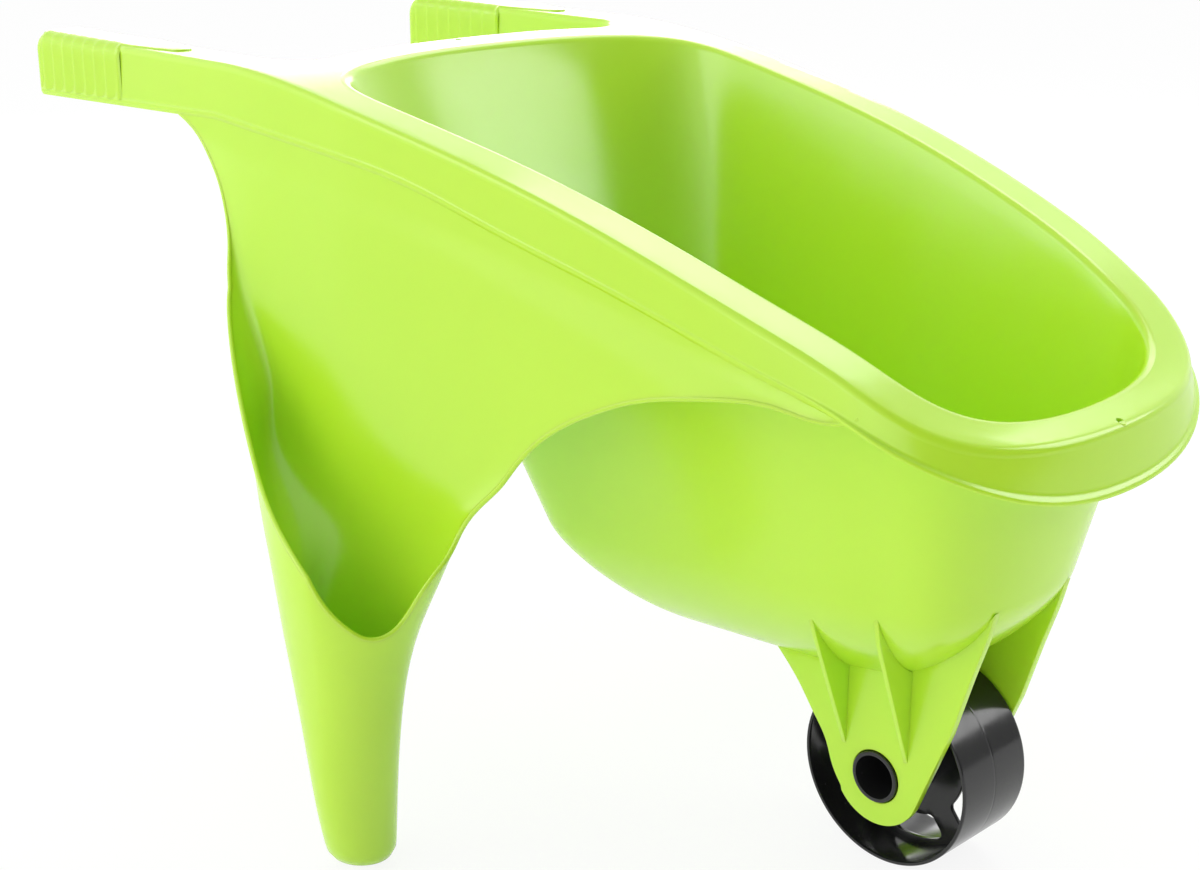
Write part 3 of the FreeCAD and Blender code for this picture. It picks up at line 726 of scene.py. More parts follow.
def green_plastic(colours):
    """Glossy green plastic: slight colour drift, fine moulding ripple and faint handling marks."""
    material, tree, shader = new_material("body_green_plastic")
    link = linker(tree)
    place = node(tree, "ShaderNodeTexCoord", -1200, 0)
    drift = noise(tree, place, 300, 4.0, 3.0, 0.5)
    ramp = node(tree, "ShaderNodeValToRGB", -600, 300)
    ramp.color_ramp.elements[0].position = 0.35
    ramp.color_ramp.elements[0].color = colours.green_deep
    ramp.color_ramp.elements[1].position = 0.68
    ramp.color_ramp.elements[1].color = colours.green
    link(drift, "Fac", ramp, "Fac")
    link(ramp, "Color", shader, "Base Color")
    haze = noise(tree, place, 0, 18.0, 5.0, 0.6)
    rough = node(tree, "ShaderNodeMapRange", -600, 0, From_Min=0.3, From_Max=0.75, To_Min=0.16, To_Max=0.27)
    link(haze, "Fac", rough, "Value")
    link(rough, "Result", shader, "Roughness")
    ripple = noise(tree, place, -300, 22.0, 2.0, 0.4)
    grain = noise(tree, place, -550, 900.0, 2.0, 0.5)
    first = node(tree, "ShaderNodeBump", -300, -300, Strength=0.05, Distance=0.004)
    link(ripple, "Fac", first, "Height")
    second = node(tree, "ShaderNodeBump", 0, -300, Strength=0.03, Distance=0.0002)
    link(grain, "Fac", second, "Height")
    link(first, "Normal", second, "Normal")
    link(second, "Normal", shader, "Normal")
    shader.inputs["IOR"].default_value = 1.5
    shader.inputs["Specular IOR Level"].default_value = 0.75
    shader.inputs["Subsurface Weight"].default_value = 0.18
    shader.inputs["Subsurface Radius"].default_value = (0.6, 1.0, 0.15)
    shader.inputs["Subsurface Scale"].default_value = 0.006
    return material


def black_plastic(colours):
    """Glossy black plastic with a soft haze, rolling scuffs and small light specks."""
    material, tree, shader = new_material("wheel_black_plastic")
    link = linker(tree)
    place = node(tree, "ShaderNodeTexCoord", -1200, 0)
    specks = node(tree, "ShaderNodeTexVoronoi", -900, 300, Scale=150.0, Randomness=1.0)
    link(place, "Object", specks, "Vector")
    ramp = node(tree, "ShaderNodeValToRGB", -600, 300)
    ramp.color_ramp.elements[0].position = 0.03
    ramp.color_ramp.elements[0].color = (0.06, 0.06, 0.06, 1.0)
    ramp.color_ramp.elements[1].position = 0.06
    ramp.color_ramp.elements[1].color = colours.black
    link(specks, "Distance", ramp, "Fac")
    link(ramp, "Color", shader, "Base Color")
    haze = noise(tree, place, 0, 30.0, 6.0, 0.65)
    rough = node(tree, "ShaderNodeMapRange", -600, 0, From_Min=0.3, From_Max=0.75, To_Min=0.10, To_Max=0.26)
    link(haze, "Fac", rough, "Value")
    link(rough, "Result", shader, "Roughness")
    bump = node(tree, "ShaderNodeBump", -300, -300, Strength=0.06, Distance=0.001)
    link(haze, "Fac", bump, "Height")
    link(bump, "Normal", shader, "Normal")
    shader.inputs["IOR"].default_value = 1.5
    return material


def material_for(slot):
    """The material of one of the record's slots, made on first use."""
    colours = bpy.context.scene.barrow_colours
    name, make = {
        "body_plastic": ("body_green_plastic", green_plastic),
        "wheel_plastic": ("wheel_black_plastic", black_plastic),
    }[slot]
    return bpy.data.materials.get(name) or make(colours)


def dress(obj):
    """Hands back the piece unchanged."""
    return obj


# ---------------------------------------------------------------------- pieces
def closed_over_floor(rows):
    """Stack of the tub's rows on one side, with two more that close its floor to the middle."""
    rows = rows + [rows[-1] * [1.0, mix, 1.0] for mix in (0.5, 0.0)]
    return np.stack([on_middle(row) for row in rows])


def tub_rows(form, us):
    """Inner profile rows of the tub, from the rim's flat edge over the rounding and down."""
    edge = form.offset(us, 0.0)
    edge = np.column_stack([edge, form.rim_top(edge[:, 0])])
    wall_top = form.tub_inside(us, np.zeros_like(us))
    drop = 5.5 / np.linalg.norm(form.tub(us, np.ones_like(us)) - form.tub(us, np.zeros_like(us)), axis=1)
    below = form.tub_inside(us, drop)
    rows = []
    for t in np.linspace(0.0, 1.0, 7):
        rows.append(edge * (1.0 - t) ** 2 + wall_top * 2.0 * t * (1.0 - t) + below * t * t)
    for t in np.linspace(0.0, 1.0, 18)[1:]:
        rows.append(form.tub_inside(us, drop + (1.0 - drop) * t))
    for t in np.linspace(1.0, 2.0, 30)[1:]:
        rows.append(form.tub_inside(us, np.full_like(us, t)))
    return closed_over_floor(rows)


def outer_tub_rows(form, us):
    """Outer profile rows of the tub from under the rim down to the floor."""
    rows = [form.tub(us, np.full_like(us, t)) for t in np.linspace(0.006, 1.0, 18)]
    rows += [form.tub(us, np.full_like(us, t)) for t in np.linspace(1.0, 2.0, 30)[1:]]
    return closed_over_floor(rows)


def around(count=150):
    """Even curve parameters round the left half of the opening."""
    return np.linspace(0.0, OPENING_END, count)


def lip_share(x):
    """Share of the full lip: all of it round the nose, a faint line over the side panels."""
    return 0.16 + 0.84 * ease((np.asarray(x) - 20.0) / 50.0)


def rim_profile(form, points, normals):
    """Rows of the rim's outer profile: edge rounding, skirt, lip and the inner side."""
    s = form.s
    lead = np.maximum(0.0, normals[:, 0]) ** 2
    end = np.where(points[:, 0] < -mm(s.handle_reach) + 40.0, np.maximum(0.0, -normals[:, 0]) ** 2, 0.0)
    held = ease((mm(s.grip_length) - 0.5 - mm(s.handle_reach) - points[:, 0]) / 3.0)
    flat = -(4.0 + 3.15 * lead + 2.0 * held + 7.5 * end)
    side = -(0.9 + 3.0 * lead + 1.6 * held)
    deep = mm(s.rim_edge) + 3.2 * held + 6.6 * end
    lip = mm(s.lip_out) * lip_share(points[:, 0])
    tall = mm(s.lip_height)
    rows = []

    def row(distance, height_of):
        distance = np.broadcast_to(distance, lead.shape)
        place = points + normals * distance[:, None]
        rows.append(np.column_stack([place, height_of(place[:, 0])]))

    for turn in np.radians([0.0, 15.0, 30.0, 45.0, 60.0, 75.0, 90.0]):
        over = flat + (side - flat) * math.sin(turn)
        row(over, lambda x: form.rim_top(x) - deep * (1.0 - math.cos(turn)))
    for mix in (0.04, 0.2, 0.4, 0.6, 0.8, 0.96, 1.0):
        row(side * (1.0 - mix),
            lambda x: (form.rim_top(x) - deep) * (1.0 - mix) + (form.skirt_z(x) + tall + 1.2) * mix)
    for out, up in ((0.1, 0.4), (0.35, 0.0), (0.7, -0.2), (0.93, -0.6), (1.0, -1.2)):
        row(out * lip, lambda x: form.skirt_z(x) + tall + up)
    for out, up in ((1.0, 0.9), (0.9, 0.25), (0.7, 0.0)):
        row(out * lip, lambda x: form.skirt_z(x) + up)
    row(-0.5, lambda x: form.skirt_z(x) - 2.2 * (1.0 - lip_share(x)))
    row(-form.wall, lambda x: form.skirt_z(x))
    row(side - form.wall, lambda x: form.rim_top(x) - deep - 1.0)
    row(flat - 1.0, lambda x: form.rim_top(x) - form.wall)
    return [on_middle(made) for made in rows]


def hole_arcs(form):
    """Left halves of the rear and nose holes in the rim, seen from above."""
    radius = mm(form.s.rim_hole)
    inset = mm(form.s.rim_hole_inset)
    rear = arc((form.rear - inset - REAR_HOLE_BACK, 0.0), radius, 180.0, 0.0, 12.0)
    nose = arc((mm(form.s.opening_front) + inset, 0.0), radius, 180.0, 0.0, 12.0)
    return on_middle(rear), on_middle(nose)


class BARROW_OT_tub(bpy.types.Operator):
    """Builds the deep tub with its rounded bottom and inner edge"""

    bl_idname = "barrow.tub"
    bl_label = "Tub"

    def execute(self, context):
        form = Form(context.scene.barrow_sizes, context.scene.wheel_sizes)
        us = around()
        build = Build()
        build.grid(tub_rows(form, us), flip=True)
        build.grid(outer_tub_rows(form, us))
        obj = build.finish("tub", material_for("body_plastic"), "body", mirror=True, sharp=50.0)
        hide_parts("barrow_body")
        dress(obj)
        return {"FINISHED"}


class BARROW_OT_rim(bpy.types.Operator):
    """Builds the flat rim, the two handles and the skirt with its lip"""

    bl_idname = "barrow.rim"
    bl_label = "Rim and handles"

    def execute(self, context):
        form = Form(context.scene.barrow_sizes, context.scene.wheel_sizes)
        points, normals = form.outline()
        rows = rim_profile(form, points, normals)
        build = Build()
        build.grid(np.stack(rows), flip=True)
        edge = on_middle(form.offset(around(), 0.0))
        rear_hole, nose_hole = hole_arcs(form)
        outline = np.concatenate([rows[0][:, :2], rear_hole, edge, nose_hole])
        for ring in (rear_hole, nose_hole):
            top = form.rim_top(ring[:, 0])
            build.grid(np.stack([np.column_stack([ring, top - down]) for down in (0.0, 0.3, form.wall)]))
        flat, faces = fill([outline], 5.0)
        build.add(np.column_stack([flat, form.rim_top(flat[:, 0])]), faces)
        edge = form.offset(around(), -mm(form.s.tub_inset))
        under = np.concatenate([rows[-1][:, :2], rear_hole, edge, nose_hole])
        flat, faces = fill([under], 8.0)
        build.add(np.column_stack([flat, form.rim_top(flat[:, 0]) - form.wall]), faces, flip=True)
        obj = build.finish("rim_and_handles", material_for("body_plastic"), "body", mirror=True, sharp=50.0)
        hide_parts("barrow_body")
        dress(obj)
        return {"FINISHED"}


class BARROW_OT_legs(bpy.types.Operator):
    """Builds the side panels that curl into scoops and narrow into the two legs"""

    bl_idname = "barrow.legs"
    bl_label = "Side panels and legs"

    def execute(self, context):
        form = Form(context.scene.barrow_sizes, context.scene.wheel_sizes)
        for name, side in (("leg_left", 1.0), ("leg_right", -1.0)):
            build = Build()
            leg_mesh(form, build, side)
            obj = build.finish(name, material_for("body_plastic"), "body", sharp=60.0)
            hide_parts("barrow_body")
            dress(obj)
        return {"FINISHED"}


def leg_mesh(form, build, side):
    """One panel, scoop and leg: outer and inner skins, foot, and a bead along the free edge."""
    s = form.s
    scale = np.array([DEGREE, 1.0])
    whole = path_through(np.array(FREE_EDGE) * np.array([DEGREE, form.top]), 4.0) / scale
    cut = np.argmax(whole[:, 0] > 360.0)
    mix = (360.0 - whole[cut - 1, 0]) / (whole[cut, 0] - whole[cut - 1, 0])
    seam_z = whole[cut - 1, 1] + mix * (whole[cut, 1] - whole[cut - 1, 1])
    rear = np.concatenate([whole[:cut], [(360.0, seam_z)]])
    front = np.concatenate([[(0.0, seam_z)], whole[cut:] - np.array([360.0, 0.0])])
    low_z = np.array([0.0, 0.4, 1.2, 2.5, 4.2, 6.5, 9.0])
    seam = np.concatenate([low_z, np.linspace(13.0, seam_z, 30)])
    top_turns = np.linspace(front[-1, 0], rear[0, 0], 100)[1:-1]
    top_z = np.full(len(top_turns), 0.8 * form.top)
    for step in range(12):
        x = form.leg(top_turns, top_z, 0.0)[:, 0]
        top_z = 0.5 * top_z + 0.5 * (form.skirt_z(x) + 2.0)
    bottom = np.linspace(0.0, 360.0, FOOT_STEPS + 1)
    outline = np.concatenate([
        np.column_stack([bottom, np.zeros_like(bottom)]),
        np.column_stack([np.full(len(seam) - 2, 360.0), seam[1:-1]]),
        rear[::-1],
        np.column_stack([top_turns, top_z])[::-1],
        front[::-1],
        np.column_stack([np.zeros(len(seam) - 2), seam[1:-1]])[::-1],
    ])
    flat, faces = fill([outline * scale], 5.0)
    turn = flat[:, 0] / DEGREE
    z = flat[:, 1]
    for inset, flip in ((0.0, side > 0), (form.wall, side < 0)):
        skin = form.leg(turn, z, inset + foot_inset(form, z))
        skin[:, 1] *= side
        build.add(skin, faces, flip)
    ground = np.zeros(FOOT_STEPS)
    cap = form.leg(bottom[:-1], ground, foot_inset(form, ground))
    cap[:, 1] *= side
    build.add(cap, [list(range(FOOT_STEPS))], side < 0)
    line = np.concatenate([rear, front[1:]])
    middle = form.leg(line[:, 0], line[:, 1], form.wall / 2.0)
    outside = form.leg(line[:, 0], line[:, 1], 0.0)
    across = outside - middle
    middle[:, 1] *= side
    across[:, 1] *= side
    tube(build, middle, mm(s.edge_bead), across)


def foot_inset(form, z):
    """How far the rounded foot draws in near the ground."""
    radius = mm(form.s.foot_round)
    up = np.clip(radius - z, 0.0, radius)
    return radius - np.sqrt(radius ** 2 - up ** 2)


def surface_above(form):
    """Ray cast against the tub's outer skin, in millimetres."""
    rows = outer_tub_rows(form, around(120))
    high, wide = rows.shape[:2]
    flat = rows.reshape(-1, 3)
    faces = [(i * wide + j, i * wide + j + 1, (i + 1) * wide + j + 1, (i + 1) * wide + j)
             for i in range(high - 1) for j in range(wide - 1)]
    tree = BVHTree.FromPolygons([tuple(p) for p in flat], faces)

    def value(x, y):
        found = tree.ray_cast(Vector((x, abs(y), -50.0)), Vector((0.0, 0.0, 1.0)))
        return found[0].z if found[0] is not None else None

    return value


class BARROW_OT_fork(bpy.types.Operator):
    """Builds the two fork ears under the tub, with their gussets and axle holes"""

    bl_idname = "barrow.fork"
    bl_label = "Fork ears"

    def execute(self, context):
        form = Form(context.scene.barrow_sizes, context.scene.wheel_sizes)
        s = form.s
        above = surface_above(form)
        radius = form.radius
        wheel = context.scene.wheel_sizes
        hole = arc((0.0, radius), mm(wheel.hub_radius + wheel.axle_clearance), 0.0, 360.0, 7.5)[:-1]
        inner = mm(s.ear_inner)
        outer = inner + mm(s.ear_thickness)
        rear = path_through(EAR_REAR, 4.0)
        turn_rear = math.degrees(math.atan2(EAR_REAR[0][1] - radius, EAR_REAR[0][0])) % 360.0
        turn_front = 360.0 + tangent_turn(EAR_FRONT[0], (0.0, radius), mm(s.ear_bottom))
        bottom = arc((0.0, radius), mm(s.ear_bottom), turn_rear, turn_front, 5.0)
        edge = np.linspace(bottom[-1], EAR_FRONT[0], 10)[1:-1]
        front = path_through(EAR_FRONT, 4.0)
        top_x = np.linspace(front[-1, 0], rear[-1, 0], 40)[1:-1]
        top = np.column_stack([top_x, [(above(x, outer) or 150.0) + 1.2 for x in top_x]])
        top = top[(top[:, 1] < front[-1, 1] + 40.0)]
        outline = np.concatenate([rear[::-1], bottom[1:], edge, front, top])
        for name, side in (("ear_left", 1.0), ("ear_right", -1.0)):
            def place(a, b, depth, side=side):
                high = np.array([(above(x, y) or 900.0) + 1.2 for x, y in zip(a, depth)])
                return np.column_stack([a, side * depth, np.minimum(b, high)])

            build = Build()
            plate(build, [outline, hole], inner, outer, place, 0.5, 5.0, side > 0)
            for x, low, out, high in GUSSETS:
                gusset(build, form, above, side, x, low, out, high)
            obj = build.finish(name, material_for("body_plastic"), "body", sharp=40.0)
            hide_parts("barrow_body")
            dress(obj)
        return {"FINISHED"}


def tangent_turn(point, centre, radius):
    """Turn on a circle, in degrees, where a line down from a point in front just touches it."""
    across = point[0] - centre[0]
    up = point[1] - centre[1]
    return math.degrees(math.atan2(up, across) - math.acos(radius / math.hypot(across, up)))


def gusset(build, form, above, side, x, low, out, high):
    """Three-sided web from an ear's outer face up to the tub."""
    s = form.s
    root = mm(s.ear_inner + s.ear_thickness) - 1.0
    edge = []
    for m in np.linspace(0.0, 1.4, 60):
        y = root + (out - root) * m
        z = low + (high - low) * m
        under = above(x + mm(s.gusset_thickness) / 2.0, y)
        if under is not None and z > under + 0.8:
            break
        edge.append((y, z))
    last = edge[-1][0]
    top = [(y, (above(x, y) or high) + 0.8) for y in np.linspace(last, root, 9)]
    outline = np.array(edge[:-1:6] + top)

    def place(a, b, depth):
        return np.column_stack([depth, side * a, b])

    plate(build, [outline], x, x + mm(s.gusset_thickness), place, 0.35, 5.0, side < 0)


class BARROW_OT_grips(bpy.types.Operator):
    """Builds the ridged grips over the handle ends, each with a collar and a raised tongue"""

    bl_idname = "barrow.grips"
    bl_label = "Grips"

    def execute(self, context):
        form = Form(context.scene.barrow_sizes, context.scene.wheel_sizes)
        for name, side in (("grip_left", 1.0), ("grip_right", -1.0)):
            build = Build()
            grip_mesh(form, build, side)
            obj = build.finish(name, material_for("body_plastic"), "body", sharp=60.0)
            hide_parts("barrow_body")
            dress(obj)
        return {"FINISHED"}


def grip_mesh(form, build, side):
    """Ridged cover on one handle end, from the rear end to the collar, and its tongue."""
    s = form.s
    rear = -mm(s.handle_reach)
    front = rear + mm(s.grip_length)
    raise_by = mm(s.grip_raise)
    depth = mm(s.grip_depth)
    middle = form.outer - mm(s.handle_width) / 2.0
    half = mm(s.handle_width) / 2.0 + raise_by
    pitch = (mm(s.grip_length) - COLLAR) / s.grip_ridges
    stops = [(front + 1.2, -raise_by - 0.1), (front + 0.5, -0.85), (front - 0.3, -0.35), (front - 1.4, 0.0),
             (front - COLLAR + 0.9, 0.0), (front - COLLAR, -depth)]
    for index in range(s.grip_ridges):
        start = front - COLLAR - index * pitch
        end = start - pitch
        for share_of, down in ((0.15, 0.97), (0.5, 0.6), (0.8, 0.22), (0.93, 0.05), (0.985, 0.12)):
            stops.append((start - share_of * pitch, -depth * down))
        stops.append((end, -depth if index < s.grip_ridges - 1 else -0.1))
    stops = [stop for stop in stops if stop[0] > rear + 0.05]
    xs = np.array([x for x, d in stops])
    ridge = np.array([d for x, d in stops])
    extra = rear + np.array([14.0, 12.0, 10.0, 8.0, 6.3, 4.8, 3.4, 2.2, 1.3, 0.6, 0.2, 0.0])
    all_x = np.sort(np.unique(np.concatenate([xs, extra])))[::-1]
    ridge = np.interp(all_x, xs[::-1], ridge[::-1])
    plan = mm(s.handle_corner)
    rows = []
    for x, down in zip(all_x, ridge):
        near = x - rear
        in_plan = plan - math.sqrt(max(0.0, plan ** 2 - max(0.0, plan - near) ** 2))
        in_top = GRIP_FALL - math.sqrt(max(0.0, GRIP_FALL ** 2 - max(0.0, GRIP_FALL - near) ** 2))
        rows.append(grip_section(form, x, middle, half, raise_by, down, in_plan, in_top))
    rows = np.stack(rows)
    rows[:, :, 1] = rows[:, :, 1] * side
    build.grid(rows, flip=side > 0)
    build.add(rows[-1], [list(range(rows.shape[1]))], flip=side > 0)
    tongue(form, build, side, front, middle)


def grip_section(form, x, middle, half, raise_by, down, in_plan, in_top):
    """Section across a grip: up one side, over the rounded top and down the other."""
    top = form.top + raise_by
    width = half - in_plan
    radius = min(GRIP_ROUND, width * 0.8)
    bottom = float(form.skirt_z(x)) + mm(form.s.lip_height) - 0.5
    points = []
    lift = top - in_top
    corner_z = lift - radius
    for z in np.linspace(bottom, corner_z, 5)[:-1]:
        points.append((width + down, z))
    for turn in np.radians(np.linspace(0.0, 90.0, 8)):
        weight = math.cos(turn) + 0.35 * math.sin(turn)
        y = width - radius + radius * math.cos(turn)
        z = corner_z + radius * math.sin(turn)
        points.append((y + down * weight * math.cos(turn), z + down * weight * math.sin(turn) * 0.6))
    flat = points[-1]
    points.append((flat[0] * 0.5, flat[1]))
    points.append((0.0, flat[1]))
    whole = points + [(-y, z) for y, z in reversed(points[:-1])]
    return [(x, middle + y, z) for y, z in whole]


def tongue(form, build, side, front, middle):
    """Low raised strip with a rounded end on the handle top, ahead of the collar."""
    half = mm(form.s.tongue_width) / 2.0
    start = front - 2.0
    end = front + mm(form.s.tongue_length)
    top = form.top + 1.1
    rows = []
    for inset, z in ((0.0, form.top - 0.5), (0.0, top - 0.5), (0.25, top - 0.12), (0.7, top)):
        narrow = half * 0.55 - inset
        ring = [(start, half - inset)]
        for m in (0.2, 0.4, 0.6, 0.8, 1.0):
            ring.append((start + (end - narrow - start) * m, half - inset - half * 0.45 * m * m))
        for a in np.radians([18, 36, 54, 72]):
            ring.append((end - narrow - inset + narrow * math.sin(a), narrow * math.cos(a)))
        ring += [(end - inset, 0.0)]
        ring += [(x, -y) for x, y in reversed(ring[:-1])]
        rows.append([(x, side * (middle + y), z) for x, y in ring])
    rows = np.array(rows)
    build.grid(rows, flip=side > 0)
    count = rows.shape[1]
    build.add(rows[-1], [list(range(count))], flip=side > 0)


class BARROW_OT_wheel(bpy.types.Operator):
    """Builds the wheel: thin rim with a parting line, web with windows, and hub tube"""

    bl_idname = "barrow.wheel"
    bl_label = "Wheel"

    def execute(self, context):
        w = context.scene.wheel_sizes
        build = Build()
        radius = mm(w.radius)
        half = mm(w.width) / 2.0
        inner = radius - mm(w.rim)
        bevel = 0.6
        seam = 0.06
        side = [(inner + 0.1, -half * 0.5), (inner + 0.25, 2.0 - half), (inner + 0.3, bevel - half),
                (inner + 0.5, 0.15 - half), (inner + 0.9, -half), (radius - bevel, -half),
                (radius - 0.17, 0.17 - half), (radius, bevel - half), (radius, 1.6 - half),
                (radius, -1.4), (radius, -0.5), (radius - seam, -0.2)]
        profile = [(inner, 0.0)] + side + other_side(side)
        lathe(build, profile, radius)
        bore = mm(w.hub_radius - w.hub_wall)
        hub = mm(w.hub_radius)
        reach = mm(w.hub_reach)
        shoulder = mm(w.shoulder)
        stop = mm(context.scene.barrow_sizes.ear_inner) - 0.5
        side = [(bore, 0.7 - reach), (bore + 0.2, 0.2 - reach), (bore + 0.7, -reach), (hub - 0.9, -reach),
                (hub - 0.25, 0.25 - reach), (hub, 0.9 - reach), (hub, 1.8 - reach), (hub, -stop),
                (shoulder - 0.3, -stop), (shoulder, 0.3 - stop)]
        profile = side + [(shoulder + 0.5, 0.0)] + other_side(side)
        lathe(build, profile, radius, 72)
        outline = arc((0.0, 0.0), radius - mm(w.rim) / 2.0, 0.0, 360.0, 3.0)[:-1]
        centre = arc((0.0, 0.0), hub - 1.0, 0.0, 360.0, 6.0)[:-1]
        holes = [window(w, WINDOW_TURN + 360.0 * k / w.windows) for k in range(w.windows)]
        thick = mm(w.web) / 2.0

        def place(a, b, depth):
            return np.column_stack([a, depth, radius + b])

        plate(build, [outline] + holes + [centre], -thick, thick, place, 0.4, 4.0, True)
        obj = build.finish("wheel_moulding", material_for("wheel_plastic"), "wheel", sharp=40.0)
        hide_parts("wheel")
        dress(obj)
        return {"FINISHED"}


def other_side(side):
    """The same half profile on the wheel's other side, in the opposite order."""
    return [(radius, -y) for radius, y in reversed(side)]


def lathe(build, profile, lift, steps=144):
    """Turns a closed profile of radius and side place about the axle."""
    profile = np.asarray(profile)
    rows = []
    for turn in np.linspace(0.0, 2.0 * math.pi, steps, endpoint=False):
        across = profile[:, 0] * math.sin(turn)
        rows.append(np.column_stack([across, profile[:, 1], lift + profile[:, 0] * math.cos(turn)]))
    build.grid(np.stack(rows), close_rows=True, close_columns=True, flip=True)


def window(w, middle):
    """Rounded three-sided window in the web, as a closed outline."""
    half = 180.0 / w.windows
    shift = mm(w.spoke) / 2.0
    near = mm(w.window_inner)
    far = mm(w.window_outer)
    inner_turn = half - math.degrees(math.asin(shift / near))
    outer_turn = half - math.degrees(math.asin(shift / far))
    rough = np.concatenate([
        arc((0.0, 0.0), far, middle - outer_turn, middle + outer_turn, 3.0),
        arc((0.0, 0.0), near, middle + inner_turn, middle - inner_turn, 4.0),
    ])
    return rounded(rough, mm(w.corner))


def rounded(loop, radius):
    """Closed outline with its corners rounded off, without the points a rounding has passed by."""
    cuts = {}
    for i, here in enumerate(loop):
        back = unit(loop[i - 1] - here)
        ahead = unit(loop[(i + 1) % len(loop)] - here)
        angle = math.acos(max(-1.0, min(1.0, float(back @ ahead))))
        if angle <= CORNER_LIMIT:
            cuts[i] = radius / math.tan(angle / 2.0)
    made = []
    for i, here in enumerate(loop):
        if i in cuts:
            start = walk(loop, i, -1, cuts[i])
            end = walk(loop, i, 1, cuts[i])
            for m in np.linspace(0.0, 1.0, 7):
                made.append((start * (1.0 - m) ** 2 + here * 2.0 * m * (1.0 - m) + end * m * m, True))
        else:
            passed = any(np.linalg.norm(here - loop[k]) < cut * 0.97 for k, cut in cuts.items())
            made.append((here, not passed))
    spaced = made[:1]
    for point, wanted in made[1:]:
        if np.linalg.norm(point - spaced[-1][0]) > 0.15:
            spaced.append((point, wanted))
    return np.array([point for point, wanted in spaced if wanted])


def walk(loop, i, way, distance):
    """Point at a distance from a corner along the outline."""
    count = len(loop)
    here = loop[i]
    left = distance
    k = i
    while left > 0.0:
        following = loop[(k + way) % count]
        step = np.linalg.norm(following - here)
        if step >= left:
            return here + (following - here) * left / step
        left -= step
        here = following
        k += way
    return here


# ----------------------------------------------------------------------- stage
class BARROW_OT_stage(bpy.types.Operator):
    """Builds the floor, the surroundings, the lamps and the camera"""

    bl_idname = "barrow.stage"
    bl_label = "Stage"

    def execute(self, context):
        floor = make_floor(context.scene.barrow_colours)
        make_world()
        make_lamps()
        make_camera()
        context.scene.view_settings.view_transform = "Standard"
        return {"FINISHED"}


def make_floor(colours):
    """Large white floor that still shows the object's shadow faintly."""
    mesh = bpy.data.meshes.new("floor")
    bm = bmesh.new()
    corners = [bm.verts.new((x, y, 0.0)) for x, y in ((-6.0, -6.0), (6.0, -6.0), (6.0, 6.0), (-6.0, 6.0))]
    bm.faces.new(corners)
    bm.to_mesh(mesh)
    bm.free()
    obj = bpy.data.objects.new("floor", mesh)
    bpy.context.scene.collection.objects.link(obj)
    material = bpy.data.materials.new("floor_white")
    material.use_nodes = True
    tree = material.node_tree
    tree.nodes.clear()
    link = linker(tree)
    output = node(tree, "ShaderNodeOutputMaterial", 800, 0)
    mix = node(tree, "ShaderNodeMixShader", 600, 0)
    paper = node(tree, "ShaderNodeBsdfDiffuse", 200, -100, Color=colours.floor)
    glow = node(tree, "ShaderNodeEmission", 200, 100, Strength=1.0)
    rays = node(tree, "ShaderNodeLightPath", -200, 300)
    seen = node(tree, "ShaderNodeMath", 0, 300, operation="MAXIMUM")
    share_of = node(tree, "ShaderNodeMath", 200, 300, operation="MULTIPLY")
    share_of.inputs[1].default_value = 0.88
    link(rays, "Is Camera Ray", seen, 0)
    link(rays, "Is Glossy Ray", seen, 1)
    link(seen, "Value", share_of, 0)
    link(share_of, "Value", mix, "Fac")
    link(paper, "BSDF", mix, 1)
    link(glow, "Emission", mix, 2)
    link(mix, "Shader", output, "Surface")
    mesh.materials.append(material)
    return obj


def make_world():
    """White surroundings up to a height, darker above, and plain white behind the object."""
    world = bpy.data.worlds.new("studio")
    bpy.context.scene.world = world
    world.use_nodes = True
    tree = world.node_tree
    tree.nodes.clear()
    link = linker(tree)
    output = node(tree, "ShaderNodeOutputWorld", 900, 0)
    mix = node(tree, "ShaderNodeMixShader", 700, 0)
    rays = node(tree, "ShaderNodeLightPath", 300, 300)
    behind = node(tree, "ShaderNodeBackground", 400, -100, Color=(1.0, 1.0, 1.0, 1.0), Strength=1.0)
    room = node(tree, "ShaderNodeBackground", 400, 100, Strength=1.0)
    place = node(tree, "ShaderNodeTexCoord", -600, 0)
    split = node(tree, "ShaderNodeSeparateXYZ", -400, 0)
    ramp = node(tree, "ShaderNodeValToRGB", -100, 0)
    stops = ramp.color_ramp.elements
    stops[0].position = 0.0
    stops[0].color = (0.8, 0.8, 0.8, 1.0)
    stops[1].position = 1.0
    stops[1].color = (1.0, 1.0, 1.0, 1.0)
    for position, value in ((0.5, 1.5), (0.70, 1.5), (0.84, 1.05)):
        stop = stops.new(position)
        stop.color = (value, value, value, 1.0)
    lift = node(tree, "ShaderNodeMapRange", -250, 0, From_Min=-1.0, From_Max=1.0, To_Min=0.0, To_Max=1.0)
    ahead = node(tree, "ShaderNodeMapRange", -250, -300, From_Min=0.05, From_Max=0.8, To_Min=1.0, To_Max=0.14)
    dim = node(tree, "ShaderNodeVectorMath", 150, 0, operation="SCALE")
    link(place, "Generated", split, "Vector")
    link(split, "Z", lift, "Value")
    link(split, "X", ahead, "Value")
    link(lift, "Result", ramp, "Fac")
    link(ramp, "Color", dim, 0)
    link(ahead, "Result", dim, "Scale")
    link(dim, "Vector", room, "Color")
    link(rays, "Is Camera Ray", mix, "Fac")
    link(room, "Background", mix, 1)
    link(behind, "Background", mix, 2)
    link(mix, "Shader", output, "Surface")


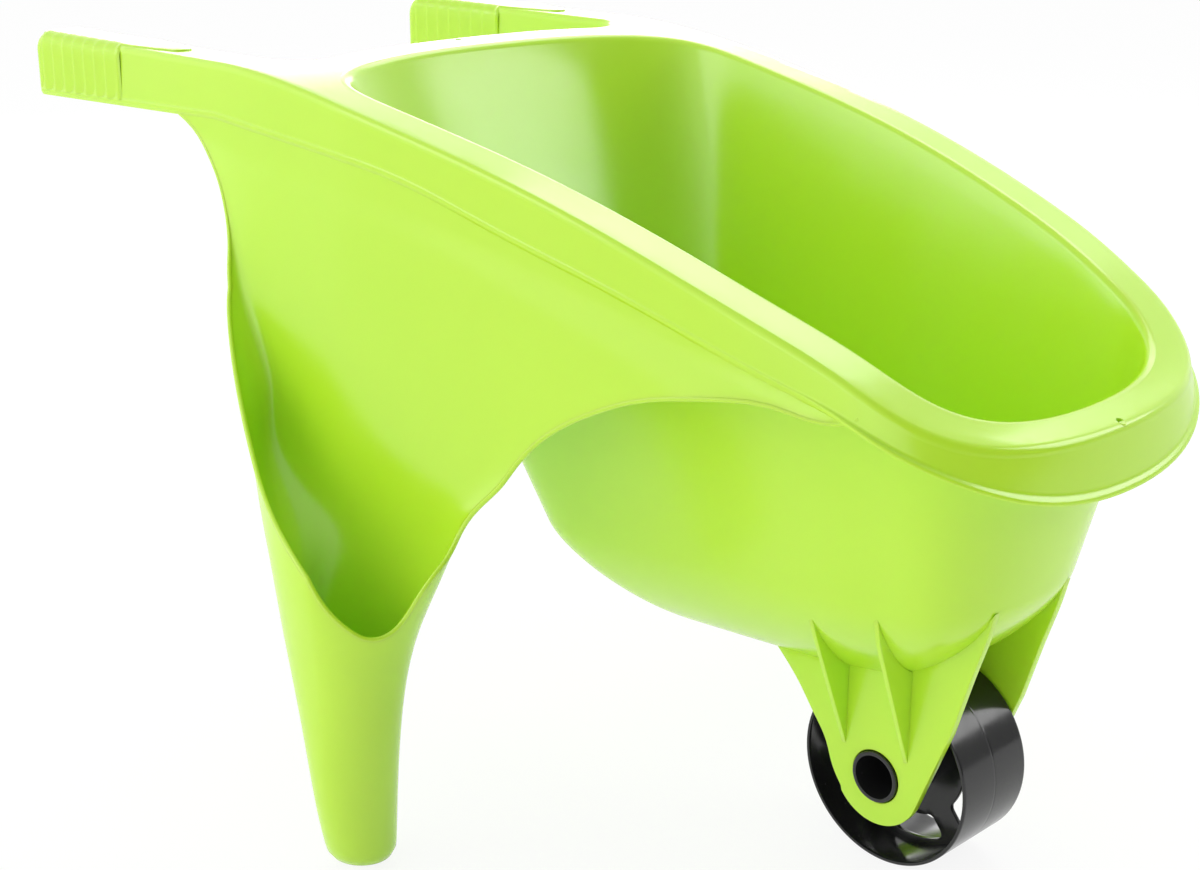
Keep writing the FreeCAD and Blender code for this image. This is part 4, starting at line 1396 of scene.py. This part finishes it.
def make_lamps():
    """Softboxes: place, size, power and aim, in metres round the object."""
    aim = Vector((0.0, 0.0, 0.25))
    for name, place, wide, high, power in (
        ("softbox_near", (-1.2, -2.0, 1.5), 1.2, 1.2, 7.0),
        ("softbox_far", (-0.6, 1.6, 2.3), 1.6, 1.4, 18.0),
        ("softbox_low", (-1.85, 1.5, 0.85), 2.0, 0.75, 16.0),
        ("softbox_floor", (0.7, -1.9, 0.3), 2.2, 0.5, 3.0),
        ("softbox_ahead", (1.5, 1.6, 1.4), 1.2, 1.0, 15.0),
    ):
        data = bpy.data.lights.new(name, "AREA")
        data.shape = "RECTANGLE"
        data.size = wide
        data.size_y = high
        data.energy = power
        lamp = bpy.data.objects.new(name, data)
        bpy.context.scene.collection.objects.link(lamp)
        lamp.location = place
        lamp.rotation_euler = (aim - Vector(place)).to_track_quat("-Z", "Y").to_euler()


def make_camera():
    """Camera ahead of the nose on the right side, set from the axle."""
    low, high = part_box("wheel")
    azimuth = math.radians(CAMERA_TURN)
    elevation = math.radians(CAMERA_HEIGHT_ANGLE)
    level = math.cos(elevation)
    back = Vector((math.sin(azimuth) * level, -math.cos(azimuth) * level, math.sin(elevation)))
    right = (-back).cross(Vector((0.0, 0.0, 1.0))).normalized()
    up = back.cross(right).normalized()
    turn = Matrix.Rotation(math.radians(CAMERA_ROLL), 3, "Z")
    basis = Matrix((right, up, back)).transposed() @ turn
    data = bpy.data.cameras.new("camera")
    data.sensor_width = 36.0
    data.lens = CAMERA_LENS
    data.clip_start = 0.01
    camera = bpy.data.objects.new("camera", data)
    bpy.context.scene.collection.objects.link(camera)
    ahead, across, height_up = CAMERA_PLACE
    place = Vector(((low.x + high.x) / 2.0 + ahead, across, height_up))
    camera.matrix_world = Matrix.Translation(place) @ basis.to_4x4()
    bpy.context.scene.camera = camera


class BARROW_PT_panel(bpy.types.Panel):
    """Lists the build steps in the sidebar"""

    bl_idname = "BARROW_PT_panel"
    bl_label = "Toy wheelbarrow"
    bl_space_type = "VIEW_3D"
    bl_region_type = "UI"
    bl_category = "Barrow"

    def draw(self, context):
        for operator in OPERATORS:
            self.layout.operator(operator.bl_idname)


OPERATORS = (
    BARROW_OT_tub,
    BARROW_OT_rim,
    BARROW_OT_legs,
    BARROW_OT_fork,
    BARROW_OT_grips,
    BARROW_OT_wheel,
    BARROW_OT_stage,
)
CLASSES = (BarrowSizes, WheelSizes, BarrowColours) + OPERATORS + (BARROW_PT_panel,)


def register():
    """Registers the sizes, the build steps and the sidebar panel."""
    for item in CLASSES:
        bpy.utils.register_class(item)
    bpy.types.Scene.barrow_sizes = PointerProperty(type=BarrowSizes)
    bpy.types.Scene.wheel_sizes = PointerProperty(type=WheelSizes)
    bpy.types.Scene.barrow_colours = PointerProperty(type=BarrowColours)


def unregister():
    """Takes everything back out."""
    del bpy.types.Scene.barrow_colours
    del bpy.types.Scene.wheel_sizes
    del bpy.types.Scene.barrow_sizes
    for item in reversed(CLASSES):
        bpy.utils.unregister_class(item)


def main():
    """Registers the build steps and builds every piece in order."""
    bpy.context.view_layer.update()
    register()
    bpy.ops.barrow.tub()
    bpy.ops.barrow.rim()
    bpy.ops.barrow.legs()
    bpy.ops.barrow.fork()
    bpy.ops.barrow.grips()
    bpy.ops.barrow.wheel()
    bpy.ops.barrow.stage()


if __name__ == "__main__":
    main()
